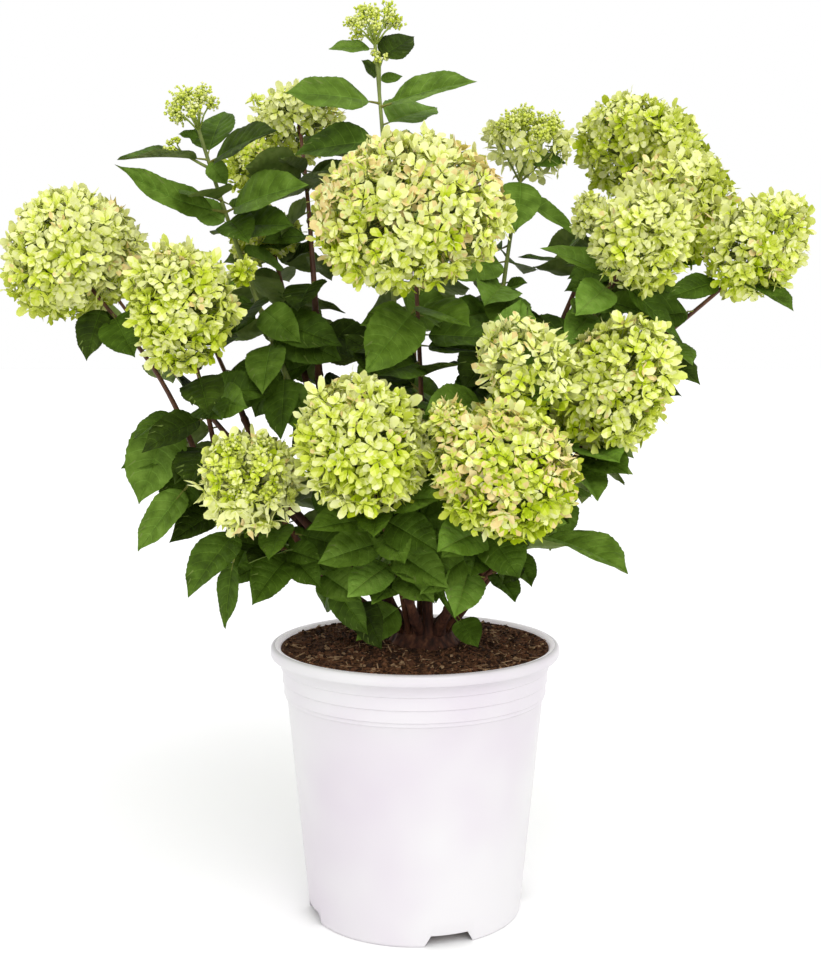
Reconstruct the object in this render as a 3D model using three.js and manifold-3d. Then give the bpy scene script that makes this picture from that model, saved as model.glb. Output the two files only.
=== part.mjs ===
// Panicle hydrangea in flower, in a plain white nursery pot.
// Millimetres, +Z up. The origin is the centre of the pot's flat underside, and the plant's front faces -Y.
// Canes rise from a short woody crown, branches leave the canes, and each cane or branch ends in one shoot:
// a stem with pairs of leaves and a flower head on its end.

import * as THREE from "three";
import { mergeVertices } from "three/addons/utils/BufferGeometryUtils.js";
import Module from "manifold-3d";

const wasm = await Module();
wasm.setup();

// Pot
const POT_HEIGHT = 217;
const RIM_RADIUS = 115;
const LIP_WIDTH = 7;
const LIP_HEIGHT = 8;
const COLLAR_HEIGHT = 42;
const COLLAR_RADIUS = 106;
const COLLAR_FLARE = 3;
const BASE_RADIUS = 85.5;
const FOOT_ROUND = 2.5;
const WALL = 2;
const PAD_RADIUS = 56;
const PAD_SLOPE = 6;
const FLOOR_RISE = 10;
const POT_SIDES = 30;
const NOTCHES = 4;
const NOTCH_HEIGHT = 9;
const NOTCH_FOOT_WIDTH = 40;
const NOTCH_TOP_WIDTH = 29;
const NOTCH_CUT = 20;
const FIRST_NOTCH = 288;

// Potting mix and woody crown
const GAP = 0.3;
const MIX_BELOW_RIM = 6;
const MIX_TOP = POT_HEIGHT - MIX_BELOW_RIM;
const MOUND = 7;
const MIX_GRAIN = 1.6;
const MIX_SIDES = 28;
const SEAT_MARGIN = 12;
const CROWN_AT = new THREE.Vector3(8, -2, MIX_TOP + MOUND);
const CROWN_FOOT_RADIUS = 34;
const CROWN_TOP_RADIUS = 23;
const CROWN_HEIGHT = 20;
const CROWN_SIDES = 14;
const CANE_RING = 17;

// Canes, branches and stems. A limb rises by BOW_RISE less its bow where it has gone out by its bow.
const CANE_RADIUS = 4.4;
const BRANCH_RADIUS = 3.4;
const LIMB_TIP_RADIUS = 2.8;
const STEM_RADIUS = 2.3;
const STEM_TIP_RADIUS = 1.8;
const BOW_RISE = 1.1;
const LINE_POINTS = 12;
const LIMB_SIDES = 5;
const LIMB_STEPS = 5;
const STEM_SIDES = 3;
const STEM_STEPS = 5;
const TWIG_STEPS = 3;
const TWIG_TIP_RADIUS = 1.44;
const TWIG_AT = 0.55;
const TWIG_BOW = 0.6;

// Leaves: shares of a leaf's length, angles in degrees, and where on a stem they grow
const LEAF_WIDTH = 0.54;
const LEAF_THICKNESS = 0.032;
const LEAF_DROOP = 0.16;
const LEAF_FOLD = 0.2;
const LEAF_RIDGE = 0.42;
const LEAF_ROOT_OUT = 0.2 * STEM_RADIUS;
const LEAF_FACES_OUT = 0.4;
const LEAF_CLEARANCE = 0.8;
const OWN_STEM_FREE = 0.14;
const LEAF_TRIES = [0, 15, -15, 30, -30, 45, -45];
const STEM_LEAFY_FROM = 0.04;
const LOW_STEM_LEAFY_FROM = 0.3;
const STEM_LEAFY_TO = 0.86;
const LOWEST_PAIR = 0.4;
const PAIR_WANDER = 14;
const LEAF_VARIES = 0.1;
const UPPER_LEAVES_SHORTER = 0.2;
const LOWEST_RISE = -26;
const HIGHEST_RISE = 10;
const RISE_VARIES = 12;
const CROWN_MIDDLE_Y = 40;

// Flower heads: how much a head narrows upwards, how deep the hollows between its florets are, how uneven it is,
// and how far short of its centre the stem ends, as a share of its height
const HEAD_TAPER = 0.14;
const FLORET_DEPTH = 0.11;
const FACET_DENT = 0.3;
const FACET_VARIES = 0.7;
const HEAD_LUMPS = 5;
const LUMP_SWELL = 0.07;
const LUMP_POWER = 3;
const FLORET_VARIES = 0.04;
const STEM_SHORT_OF_HEAD = 0.25;
const LARGE_HEAD = 80;
const SMALL_HEAD = 60;
const TINY_HEAD = 20;

// Each shoot: the cane or branch that carries it, where that starts, its flower heads and its leaves.
//   from     a compass angle on the woody crown (0 right, 90 back), or the cane it leaves and how far along
//   bow      how far out the limb has gone when it has made the rest of its rise
//   bare     the share of the whole length that is limb, before the leafy stem begins
//   heads    [x, y, z, width, height] of each flower head, the first one on the stem's end
//   leaves   [share of the stem, compass angle, rise, length] of the leaves that stand out
//   pairs    pairs of leaves that fill the stem up to the share upTo: turn is the lowest pair's compass angle,
//            leaf their length
const SHOOTS = [
  { name: "far_left", from: 205, bow: 0.74, bare: 0.52, heads: [[-257, -30, 523, 108, 100]],
    leaves: [[0.89, 130, -35, 56], [0.84, 285, -20, 60], [0.64, 30, 30, 50]],
    pairs: 2, turn: 200, leaf: 62, upTo: 0.6 },
  { name: "left", from: ["far_left", 0.46], bow: 0.45, bare: 0.1, heads: [[-171, -90, 483, 88, 94]],
    leaves: [[0.4, 210, -35, 76], [0.26, 235, -45, 74], [0.14, 200, -40, 88], [0.5, 305, 5, 58],
      [0.77, 90, 15, 64], [0.7, 285, -20, 60]],
    pairs: 2, turn: 100, leaf: 66, upTo: 0.8 },
  { name: "low_left", from: ["far_left", 0.2], bow: 0.5, bare: 0.35, heads: [[-118, -110, 358, 74, 70]],
    leaves: [[0.66, 70, 45, 54]],
    pairs: 2, turn: 170, leaf: 60, upTo: 0.8 },
  { name: "upper_left", from: 178, bow: 0.62, bare: 0.42, heads: [[-170, -10, 633, 40, 32], [-193, -12, 616, 16, 14]],
    leaves: [[0.89, 200, 5, 64], [0.71, 185, 25, 90], [0.75, 235, 5, 45], [0.86, 315, 20, 72], [0.88, 80, 50, 60],
      [0.7, 325, 20, 76], [0.68, 295, -15, 50], [0.94, 185, 15, 18], [0.23, 235, -20, 84], [0.41, 260, -15, 60],
      [0.18, 285, -30, 62]],
    pairs: 3, turn: 60, leaf: 70, upTo: 0.7 },
  { name: "back_cream", from: ["upper_left", 0.34], bow: 0.35, bare: 0.4, heads: [[-98, 90, 644, 78, 44]],
    leaves: [[0.81, 315, 5, 60], [0.64, 180, 10, 50], [0.59, 290, 20, 60], [0.29, 150, 0, 52]],
    pairs: 3, turn: 60, leaf: 66, upTo: 0.8 },
  { name: "inner_left", from: ["upper_left", 0.26], bow: 0.6, bare: 0.4,
    heads: [[-132, 78, 600, 50, 42], [-122, 52, 542, 58, 40]],
    leaves: [[0.52, 290, -10, 60], [0.34, 325, 25, 72], [0.2, 330, -20, 66]],
    pairs: 3, turn: 80, leaf: 66, upTo: 0.8 },
  { name: "top", from: 228, bow: 0.45, bare: 0.4, heads: [[-32, 0, 697, 44, 28], [-27, 0, 672, 14, 12]],
    leaves: [[0.8, 205, 15, 78], [0.8, 330, 20, 74], [0.75, 35, 40, 62], [0.95, 195, 0, 36], [0.93, 10, 30, 38],
      [0.88, 240, 30, 22], [0.87, 10, 25, 20], [0.72, 135, 30, 50]],
    pairs: 2, turn: 350, leaf: 72, upTo: 0.55 },
  { name: "centre", from: 278, bow: 0.4, bare: 0.34, heads: [[-3, -110, 549, 138, 108]],
    leaves: [[0.76, 240, -30, 76], [0.76, 305, -5, 60], [0.65, 310, 0, 62], [0.62, 155, 0, 60], [0.48, 300, 20, 50],
      [0.38, 300, 0, 60], [0.42, 150, 40, 80]],
    pairs: 2, turn: 60, leaf: 70, upTo: 0.6 },
  { name: "low_centre", from: 258, bow: 0.6, bare: 0.42, heads: [[-37, -140, 387, 92, 106]],
    leaves: [[0.68, 320, 15, 56], [0.9, 145, 10, 56]],
    pairs: 2, turn: 180, leaf: 62, upTo: 0.8 },
  { name: "low_right", from: 302, bow: 0.6, bare: 0.42, heads: [[61, -160, 371, 104, 88]],
    leaves: [[0.95, 355, -15, 50]],
    pairs: 2, turn: 340, leaf: 66, upTo: 0.8 },
  { name: "open_centre", from: ["centre", 0.3], bow: 0.45, bare: 0.3, heads: [[75, -120, 444, 78, 56]],
    leaves: [[0.62, 255, 0, 60], [0.65, 185, 0, 62], [0.9, 55, 60, 70], [0.85, 305, 0, 54]],
    pairs: 3, turn: 20, leaf: 64, upTo: 0.7 },
  { name: "right", from: 328, bow: 0.6, bare: 0.45, heads: [[150, -75, 426, 88, 114]],
    leaves: [[0.68, 300, 0, 60], [0.62, 285, -15, 56], [0.95, 130, -15, 50]],
    pairs: 2, turn: 350, leaf: 68, upTo: 0.7 },
  { name: "upper_right", from: 10, bow: 0.5, bare: 0.48, heads: [[194, 110, 622, 112, 80]],
    pairs: 3, turn: 60, leaf: 74 },
  { name: "right_front", from: ["upper_right", 0.27], bow: 0.5, bare: 0.3, heads: [[166, -70, 533, 74, 78]],
    leaves: [[0.87, 155, 30, 60], [0.83, 235, -20, 50], [0.67, 270, -25, 50], [0.92, 340, -40, 100]],
    pairs: 2, turn: 30, leaf: 68, upTo: 0.7 },
  { name: "right_back", from: ["upper_right", 0.43], bow: 0.5, bare: 0.3, heads: [[212, 20, 566, 90, 88]],
    pairs: 3, turn: 0, leaf: 68 },
  { name: "young_right", from: ["upper_right", 0.18], bow: 0.4, bare: 0.4, heads: [[90, 30, 612, 66, 50]],
    leaves: [[0.92, 265, -45, 56], [0.85, 315, -25, 72], [0.95, 185, 15, 54], [0.85, 190, 35, 40], [0.98, 350, 5, 34],
      [0.75, 215, -10, 60]],
    pairs: 2, turn: 20, leaf: 70, upTo: 0.6 },
  { name: "far_right", from: ["upper_right", 0.36], bow: 0.6, bare: 0.3, heads: [[268, -45, 532, 72, 88]],
    leaves: [[0.89, 295, -15, 54], [0.88, 215, -5, 58]],
    pairs: 3, turn: 40, leaf: 66, upTo: 0.8 },
  { name: "back_far_left", from: 142, bow: 0.6, bare: 0.5, heads: [[-275, 95, 525, 90, 88]],
    pairs: 4, turn: 140, leaf: 74 },
  { name: "back_left", from: ["back_far_left", 0.4], bow: 0.5, bare: 0.35, heads: [[-200, 150, 495, 84, 88]],
    pairs: 4, turn: 120, leaf: 74 },
  { name: "back_low_end", from: ["back_far_left", 0.2], bow: 0.6, bare: 0.4, heads: [[-148, 118, 345, 70, 70]],
    pairs: 3, turn: 150, leaf: 70 },
  { name: "back_centre", from: 95, bow: 0.5, bare: 0.42, heads: [[-5, 190, 569, 104, 90]],
    pairs: 4, turn: 60, leaf: 76 },
  { name: "back_low_left", from: ["back_centre", 0.25], bow: 0.6, bare: 0.4, heads: [[-57, 170, 362, 88, 90]],
    pairs: 3, turn: 120, leaf: 72 },
  { name: "back_right", from: 45, bow: 0.6, bare: 0.42, heads: [[180, 120, 417, 84, 98]],
    pairs: 4, turn: 30, leaf: 72 },
  { name: "back_low_right", from: ["back_right", 0.25], bow: 0.6, bare: 0.4, heads: [[85, 170, 340, 88, 84]],
    pairs: 3, turn: 60, leaf: 72 },
  { name: "back_upper_right", from: ["back_right", 0.38], bow: 0.35, bare: 0.32, heads: [[233, 215, 575, 90, 88]],
    pairs: 4, turn: 70, leaf: 74 },
];

// Leafy shoots with no flowers, which spring straight from the woody crown. Their stem ends at tip.
const LOW_SHOOTS = [
  { name: "low_leaves_left", from: 215, tip: [-132, -72, 322], bow: 0.5,
    leaves: [[1, 245, -30, 72], [0.88, 230, -60, 64], [0.71, 240, -20, 62], [0.69, 270, -10, 54], [1, 50, -15, 60]],
    pairs: 2, turn: 150, leaf: 62, upTo: 0.9 },
  { name: "low_leaves_front", from: 232, tip: [-24, -72, 330], bow: 0.5,
    leaves: [[0.95, 215, -25, 88], [0.57, 200, -35, 64], [0.36, 210, -40, 66], [0.29, 230, -40, 62],
      [0.66, 300, -15, 58], [0.81, 25, -15, 62], [0.92, 295, -5, 50]],
    pairs: 2, turn: 120, leaf: 60, upTo: 0.8 },
  { name: "low_leaves_right", from: 315, tip: [92, -82, 318], bow: 0.45,
    leaves: [[0.24, 150, -5, 50], [0.35, 80, -70, 60], [0.56, 295, -15, 44], [0.93, 310, 0, 88],
      [0.85, 105, -65, 42], [0.72, 230, -15, 62], [0.91, 50, 30, 48]],
    pairs: 2, turn: 20, leaf: 60, upTo: 0.9 },
  { name: "low_leaves_back_left", from: 122, tip: [-75, 95, 300], bow: 0.6,
    pairs: 4, turn: 130, leaf: 72 },
  { name: "low_leaves_back_right", from: 70, tip: [95, 85, 305], bow: 0.6,
    pairs: 4, turn: 40, leaf: 72 },
];

// Colours and finishes
const finish = (color, roughness) => new THREE.MeshStandardMaterial({ color, roughness, metalness: 0 });
const POT_WHITE = finish(0xf1eff2, 0.45);
const MIX_BROWN = finish(0x33231a, 0.95);
const BARK = finish(0x5e3b2c, 0.8);
const SHOOT_GREEN = finish(0x7f9c3c, 0.6);

const UP = new THREE.Vector3(0, 0, 1);
const radians = THREE.MathUtils.degToRad;

// Evenly spread numbers from 0 to 1 that come out the same each time for one seed
function seeded(seed) {
  let state = seed >>> 0;
  return () => {
    state = (Math.imul(state, 1664525) + 1013904223) >>> 0;
    return state / 2 ** 32;
  };
}

const about = (random, spread) => (random() * 2 - 1) * spread;

function compass(degrees) {
  return new THREE.Vector3(Math.cos(radians(degrees)), Math.sin(radians(degrees)), 0);
}

// Closed geometry to solid and back
function closed(geometry) {
  geometry.deleteAttribute("normal");
  geometry.deleteAttribute("uv");
  return mergeVertices(geometry, 1e-4);
}

function solid(geometry) {
  const merged = closed(geometry);
  const vertProperties = new Float32Array(merged.attributes.position.array);
  const triVerts = new Uint32Array(merged.index.array);
  return new wasm.Manifold(new wasm.Mesh({ numProp: 3, vertProperties, triVerts }));
}

function geometryOf(body) {
  const mesh = body.getMesh();
  const geometry = new THREE.BufferGeometry();
  geometry.setAttribute("position", new THREE.Float32BufferAttribute(mesh.vertProperties, 3));
  geometry.setIndex([...mesh.triVerts]);
  geometry.computeVertexNormals();
  return geometry;
}

// A shape turned about the upright axis from [radius, height] points
function lathe(profile, sides) {
  const points = profile.map(([radius, height]) => new THREE.Vector2(radius, height));
  return new THREE.LatheGeometry(points, sides).rotateX(Math.PI / 2);
}

// A limb or stem: a cylinder laid along a curve, with its radius falling evenly from foot to tip
function tapered(curve, footRadius, tipRadius, sides, steps) {
  const geometry = new THREE.CylinderGeometry(1, 1, 1, sides, steps);
  const frames = curve.computeFrenetFrames(steps);
  const place = geometry.attributes.position;
  for (let i = 0; i < place.count; i++) {
    const along = place.getY(i) + 0.5;
    const step = Math.round(along * steps);
    const radius = footRadius + (tipRadius - footRadius) * along;
    const point = curve.getPointAt(along);
    point.addScaledVector(frames.normals[step], place.getX(i) * radius);
    point.addScaledVector(frames.binormals[step], -place.getZ(i) * radius);
    place.setXYZ(i, point.x, point.y, point.z);
  }
  return solid(geometry);
}

// The line of a cane or branch and of the stem that follows it, from foot to flower head
function lineTo(foot, end, bow) {
  const reach = end.clone().sub(foot);
  const out = reach.clone().multiplyScalar(bow).setZ(reach.z * (BOW_RISE - bow));
  const middle = foot.clone().add(out);
  return new THREE.QuadraticBezierCurve3(foot, middle, end);
}

// The stretch of a line between two shares of its length
function stretch(line, start, stop) {
  const points = [];
  for (let i = 0; i <= LINE_POINTS; i++) {
    points.push(line.getPointAt(start + ((stop - start) * i) / LINE_POINTS));
  }
  return new THREE.CatmullRomCurve3(points);
}

// A leaf: a six-sided disc pulled into an ovate blade, folded along its midrib and drooping to its tip
const LEAF_ALONG = [1, 0.64, 0.27, 0, 0.27, 0.64];
const LEAF_ACROSS = [0, 0.36, 0.48, 0, -0.48, -0.36];
function leaf(root, direction, facing, length, clear = 0) {
  const geometry = closed(new THREE.SphereGeometry(1, 6, 2));
  const place = geometry.attributes.position;
  const side = new THREE.Vector3().crossVectors(direction, facing).normalize();
  const normal = new THREE.Vector3().crossVectors(side, direction).normalize();
  for (let i = 0; i < place.count; i++) {
    const pole = Math.abs(place.getY(i)) > 0.5;
    const corner = Math.round(Math.atan2(place.getZ(i), place.getX(i)) / (Math.PI / 3) + 6) % 6;
    const along = pole ? LEAF_RIDGE : LEAF_ALONG[corner];
    const across = pole ? 0 : LEAF_ACROSS[corner] * LEAF_WIDTH * length;
    const thick = pole ? (Math.sign(place.getY(i)) * LEAF_THICKNESS * length) / 2 : 0;
    const lift = Math.abs(across) * LEAF_FOLD - LEAF_DROOP * length * along * along + thick;
    const point = root.clone();
    point.addScaledVector(direction, along * (length + clear) + LEAF_ROOT_OUT);
    point.addScaledVector(side, across * (1 + (2 * clear) / length));
    point.addScaledVector(normal, lift + Math.sign(thick) * clear);
    place.setXYZ(i, point.x, point.y, point.z);
  }
  return solid(geometry);
}

// How far a flower head swells in one direction, from a few soft lumps placed by its seed
function lumpy(random) {
  const lumps = Array.from({ length: HEAD_LUMPS }, () => {
    const turn = random() * Math.PI * 2;
    const rise = about(random, 1);
    const flat = Math.sqrt(1 - rise * rise);
    return new THREE.Vector3(Math.cos(turn) * flat, Math.sin(turn) * flat, rise);
  });
  return (point) => {
    const unit = point.clone().normalize();
    const swelling = lumps.reduce((total, lump) => total + Math.max(0, unit.dot(lump)) ** LUMP_POWER, 0);
    return 1 - LUMP_SWELL + LUMP_SWELL * swelling;
  };
}

// A flower head: an uneven ball of facets, narrower at the top. On a large head, and on a small one that
// starts from the fewest facets, each facet is drawn out into a floret.
function flowerHead(centre, axis, width, height, random) {
  const ball = closed(new THREE.IcosahedronGeometry(1, width > SMALL_HEAD ? 1 : 0));
  const drawnOut = width > LARGE_HEAD || (width <= SMALL_HEAD && width > TINY_HEAD);
  const place = ball.attributes.position;
  const swell = lumpy(random);
  const corners = [];
  for (let i = 0; i < place.count; i++) {
    const point = new THREE.Vector3().fromBufferAttribute(place, i);
    const depth = drawnOut ? FLORET_DEPTH : FLORET_DEPTH * (FACET_DENT + about(random, FACET_VARIES));
    corners.push(point.multiplyScalar(swell(point) * (1 - depth)));
  }
  let faces = [...ball.index.array];
  if (drawnOut) {
    faces = [];
    const index = ball.index.array;
    for (let i = 0; i < index.length; i += 3) {
      const [a, b, c] = [index[i], index[i + 1], index[i + 2]];
      const middle = corners[a].clone().add(corners[b]).add(corners[c]).normalize();
      corners.push(middle.multiplyScalar(swell(middle) * (1 + about(random, FLORET_VARIES))));
      const peak = corners.length - 1;
      faces.push(a, b, peak, b, c, peak, c, a, peak);
    }
  }
  const turned = new THREE.Quaternion().setFromUnitVectors(UP, axis);
  const positions = corners.flatMap((point) => {
    const narrow = 1 - HEAD_TAPER * point.z;
    point.set((point.x * narrow * width) / 2, (point.y * narrow * width) / 2, (point.z * height) / 2);
    return point.applyQuaternion(turned).add(centre).toArray();
  });
  const geometry = new THREE.BufferGeometry();
  geometry.setAttribute("position", new THREE.Float32BufferAttribute(positions, 3));
  geometry.setIndex(faces);
  return solid(geometry);
}

// The pot: a turned shell with a rolled lip, a collar with three rings, a raised floor round a flat pad,
// and notches round its foot
function makePot() {
  const collarFoot = POT_HEIGHT - COLLAR_HEIGHT;
  const collarFootRadius = COLLAR_RADIUS - 4;
  const lipFoot = POT_HEIGHT - LIP_HEIGHT;
  const collarTop = lipFoot - 5;
  const lipInside = RIM_RADIUS - LIP_WIDTH;
  const baseInside = BASE_RADIUS - WALL - 1;
  const outside = [
    [0, 0], [PAD_RADIUS, 0], [PAD_RADIUS + PAD_SLOPE, FLOOR_RISE], [baseInside, FLOOR_RISE],
    [baseInside - 0.5, 0], [BASE_RADIUS - 1.5, 0], [BASE_RADIUS, FOOT_ROUND],
    [collarFootRadius, collarFoot], [collarFootRadius + 2, collarFoot + COLLAR_FLARE],
    [COLLAR_RADIUS + 1, collarTop], [RIM_RADIUS - 1, lipFoot], [RIM_RADIUS, POT_HEIGHT - 2],
  ];
  const inside = [
    [RIM_RADIUS - FOOT_ROUND, POT_HEIGHT], [lipInside + 1, POT_HEIGHT], [lipInside - 1, POT_HEIGHT - 2],
    [COLLAR_RADIUS - 1 - WALL, collarTop], [collarFootRadius - WALL, collarFoot],
    [baseInside, FLOOR_RISE + WALL], [PAD_RADIUS + PAD_SLOPE - 1, FLOOR_RISE + WALL],
    [PAD_RADIUS - 1, WALL], [0, WALL],
  ];
  let pot = solid(lathe([...outside, ...inside], POT_SIDES));
  const notch = new THREE.Shape();
  notch.moveTo(-NOTCH_FOOT_WIDTH / 2 - 1, -1);
  notch.lineTo(NOTCH_FOOT_WIDTH / 2 + 1, -1);
  notch.lineTo(NOTCH_TOP_WIDTH / 2, NOTCH_HEIGHT);
  notch.lineTo(-NOTCH_TOP_WIDTH / 2, NOTCH_HEIGHT);
  notch.closePath();
  for (let i = 0; i < NOTCHES; i++) {
    const cutter = new THREE.ExtrudeGeometry(notch, { depth: NOTCH_CUT, bevelEnabled: false });
    cutter.rotateX(Math.PI / 2);
    cutter.translate(0, -BASE_RADIUS + NOTCH_CUT * 0.6, 0);
    cutter.rotateZ(radians(FIRST_NOTCH + 90 + (i * 360) / NOTCHES));
    pot = pot.subtract(solid(cutter));
  }
  return pot;
}

// Potting mix: it fills the pot to just under the rim, with a grainy top that rises to a flat seat in the middle
function makeMix() {
  const bottom = FLOOR_RISE + WALL + GAP;
  const seatRadius = CROWN_FOOT_RADIUS + SEAT_MARGIN;
  const profile = [
    [0, WALL + GAP], [PAD_RADIUS - 1.5, WALL + GAP], [PAD_RADIUS + PAD_SLOPE - 1.5, bottom],
    [BASE_RADIUS - WALL - 1.8, bottom], [COLLAR_RADIUS - 4.6 - WALL, POT_HEIGHT - COLLAR_HEIGHT],
    [COLLAR_RADIUS - 2.2 - WALL, MIX_TOP - 2], [88, MIX_TOP], [72, MIX_TOP + 1.5],
    [seatRadius + 10, MIX_TOP + MOUND * 0.6], [seatRadius, MIX_TOP + MOUND], [0, MIX_TOP + MOUND],
  ];
  const mix = lathe(profile, MIX_SIDES);
  const place = mix.attributes.position;
  for (let i = 0; i < place.count; i++) {
    const [x, y, z] = [place.getX(i), place.getY(i), place.getZ(i)];
    const radius = Math.hypot(x, y);
    const open = z > MIX_TOP - 1 && radius > seatRadius + 2;
    const grain = Math.sin(x * 0.9 + 1) * Math.cos(y * 0.7) + Math.sin((x + y) * 0.37);
    place.setZ(i, z + (open ? grain * MIX_GRAIN : 0));
  }
  return solid(mix);
}

// Woody crown: the low stump that all canes spring from, flared at its foot and cut flat where it meets the mix
function makeWoodyCrown(grown = 0) {
  const profile = [
    [0, 0], [CROWN_FOOT_RADIUS, 0], [CROWN_FOOT_RADIUS - 2, 4], [CROWN_TOP_RADIUS + 3, CROWN_HEIGHT * 0.5],
    [CROWN_TOP_RADIUS - 2, CROWN_HEIGHT * 0.85], [CROWN_TOP_RADIUS * 0.5, CROWN_HEIGHT], [0, CROWN_HEIGHT],
  ].map(([radius, height]) => [radius + (radius > 0 ? grown : 0), height + grown]);
  const stump = lathe(profile, CROWN_SIDES);
  stump.translate(CROWN_AT.x, CROWN_AT.y, CROWN_AT.z + GAP);
  return solid(stump);
}

// What is already in place, so that no leaf is set where it would touch another part
const placed = [];

function keep(name, body, isLeaf = false) {
  placed.push({ name, body, isLeaf, box: boxOf(body) });
  return body;
}

function boxOf(body) {
  const { min, max } = body.boundingBox();
  return new THREE.Box3(new THREE.Vector3(...min), new THREE.Vector3(...max));
}

function meets(body, isOther) {
  const box = boxOf(body);
  return placed.some(
    (other) => isOther(other) && other.box.intersectsBox(box) && !other.body.intersect(body).isEmpty(),
  );
}

// Whether a leaf with some room round it meets another part, or its outer stretch meets a leaf of its own shoot
function crowded(name, root, direction, facing, length) {
  const free = OWN_STEM_FREE * length;
  const outer = root.clone().addScaledVector(direction, free);
  return (
    meets(leaf(root, direction, facing, length, LEAF_CLEARANCE), (other) => other.name !== name) ||
    meets(leaf(outer, direction, facing, length - free), (other) => other.name === name && other.isLeaf)
  );
}

const group = new THREE.Group();

function add(name, body, material) {
  const mesh = new THREE.Mesh(geometryOf(body), material);
  mesh.name = name;
  group.add(mesh);
}

// Lines of all canes and branches, worked out in order, as a branch needs the cane that it leaves
const lines = {};
for (const shoot of SHOOTS) {
  const fromCrown = typeof shoot.from === "number";
  const foot = fromCrown
    ? CROWN_AT.clone().addScaledVector(compass(shoot.from), CANE_RING).setZ(CROWN_AT.z + CROWN_HEIGHT * 0.5)
    : lines[shoot.from[0]].getPointAt(shoot.from[1]);
  lines[shoot.name] = lineTo(foot, new THREE.Vector3(...shoot.heads[0].slice(0, 3)), shoot.bow);
}
for (const shoot of LOW_SHOOTS) {
  const foot = CROWN_AT.clone().addScaledVector(compass(shoot.from), CROWN_TOP_RADIUS - 2);
  foot.z += CROWN_HEIGHT * 0.5;
  lines[shoot.name] = lineTo(foot, new THREE.Vector3(...shoot.tip), shoot.bow);
}

function limbOf(shoot, grown = 0) {
  const fromCrown = typeof shoot.from === "number";
  const footRadius = (fromCrown ? CANE_RADIUS : BRANCH_RADIUS) + grown;
  const line = stretch(lines[shoot.name], 0, shoot.bare);
  return tapered(line, footRadius, LIMB_TIP_RADIUS + grown, LIMB_SIDES, LIMB_STEPS);
}

// Canes and branches, each cut clear of the crown or cane that it springs from
function addLimbs() {
  const byName = Object.fromEntries(SHOOTS.map((shoot) => [shoot.name, shoot]));
  for (const shoot of SHOOTS) {
    const fromCrown = typeof shoot.from === "number";
    const carrier = fromCrown ? makeWoodyCrown(GAP) : limbOf(byName[shoot.from[0]], GAP);
    const limb = limbOf(shoot).subtract(carrier);
    const name = (fromCrown ? "cane_" : "branch_") + shoot.name;
    add(name, keep(name, largestPiece(limb)), BARK);
  }
}

function largestPiece(body) {
  const pieces = body.decompose();
  return pieces.reduce((best, piece) => (piece.volume() > best.volume() ? piece : best));
}

// The stem and flower heads of a shoot, without its leaves
function stemAndHeads(shoot, random) {
  const line = lines[shoot.name];
  const gap = GAP / line.getLength();
  const stop = 1 - (shoot.heads[0][4] * STEM_SHORT_OF_HEAD) / line.getLength();
  const stemLine = stretch(line, shoot.bare + gap, stop);
  let body = tapered(stemLine, STEM_RADIUS, STEM_TIP_RADIUS, STEM_SIDES, STEM_STEPS);
  shoot.heads.forEach(([x, y, z, width, height], i) => {
    const centre = new THREE.Vector3(x, y, z);
    let axis = line.getTangentAt(1);
    if (i > 0) {
      const twig = lineTo(stemLine.getPointAt(TWIG_AT), centre, TWIG_BOW);
      body = body.add(tapered(twig, STEM_TIP_RADIUS, TWIG_TIP_RADIUS, STEM_SIDES, TWIG_STEPS));
      axis = twig.getTangentAt(1);
    }
    body = body.add(flowerHead(centre, axis, width, height, random));
  });
  return { body, stemLine };
}

// Sets one leaf where it touches no other part, trying it turned aside before it is left out
function setLeaf(shoot, body, root, heading, rise, length) {
  const outward = new THREE.Vector3(Math.sign(root.x) * LEAF_FACES_OUT, root.y < CROWN_MIDDLE_Y ? -1 : 1, 0);
  const facing = outward.add(UP);
  for (const aside of LEAF_TRIES) {
    const direction = compass(heading + aside).multiplyScalar(Math.cos(radians(rise)));
    direction.z = Math.sin(radians(rise));
    if (crowded(shoot.name, root, direction, facing, length)) {
      continue;
    }
    const blade = leaf(root, direction, facing, length);
    keep(shoot.name, blade, true);
    return body.add(blade);
  }
  return body;
}

// The leaves that stand out, then opposite pairs, each pair turned a right angle from the one below it
// and drooping less
function growLeaves(shoot, foot, stemLine, body, random) {
  for (const [share, heading, rise, length] of shoot.leaves ?? []) {
    body = setLeaf(shoot, body, stemLine.getPointAt(share), heading, rise, length);
  }
  const top = shoot.upTo ?? STEM_LEAFY_TO;
  for (let pair = 0; pair < shoot.pairs; pair++) {
    const share = (pair + LOWEST_PAIR) / shoot.pairs;
    const root = stemLine.getPointAt(foot + (top - foot) * share);
    const heading = shoot.turn + pair * 90 + about(random, PAIR_WANDER);
    for (const opposite of [0, 180]) {
      const length = shoot.leaf * (1 - UPPER_LEAVES_SHORTER * share) * (1 + about(random, LEAF_VARIES));
      const rise = LOWEST_RISE + (HIGHEST_RISE - LOWEST_RISE) * share + about(random, RISE_VARIES);
      body = setLeaf(shoot, body, root, heading + opposite, rise, length);
    }
  }
  return largestPiece(body);
}

add("pot", keep("pot", makePot()), POT_WHITE);
add("potting_mix", keep("potting_mix", makeMix()), MIX_BROWN);
add("woody_crown", keep("woody_crown", makeWoodyCrown()), BARK);
addLimbs();

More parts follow.
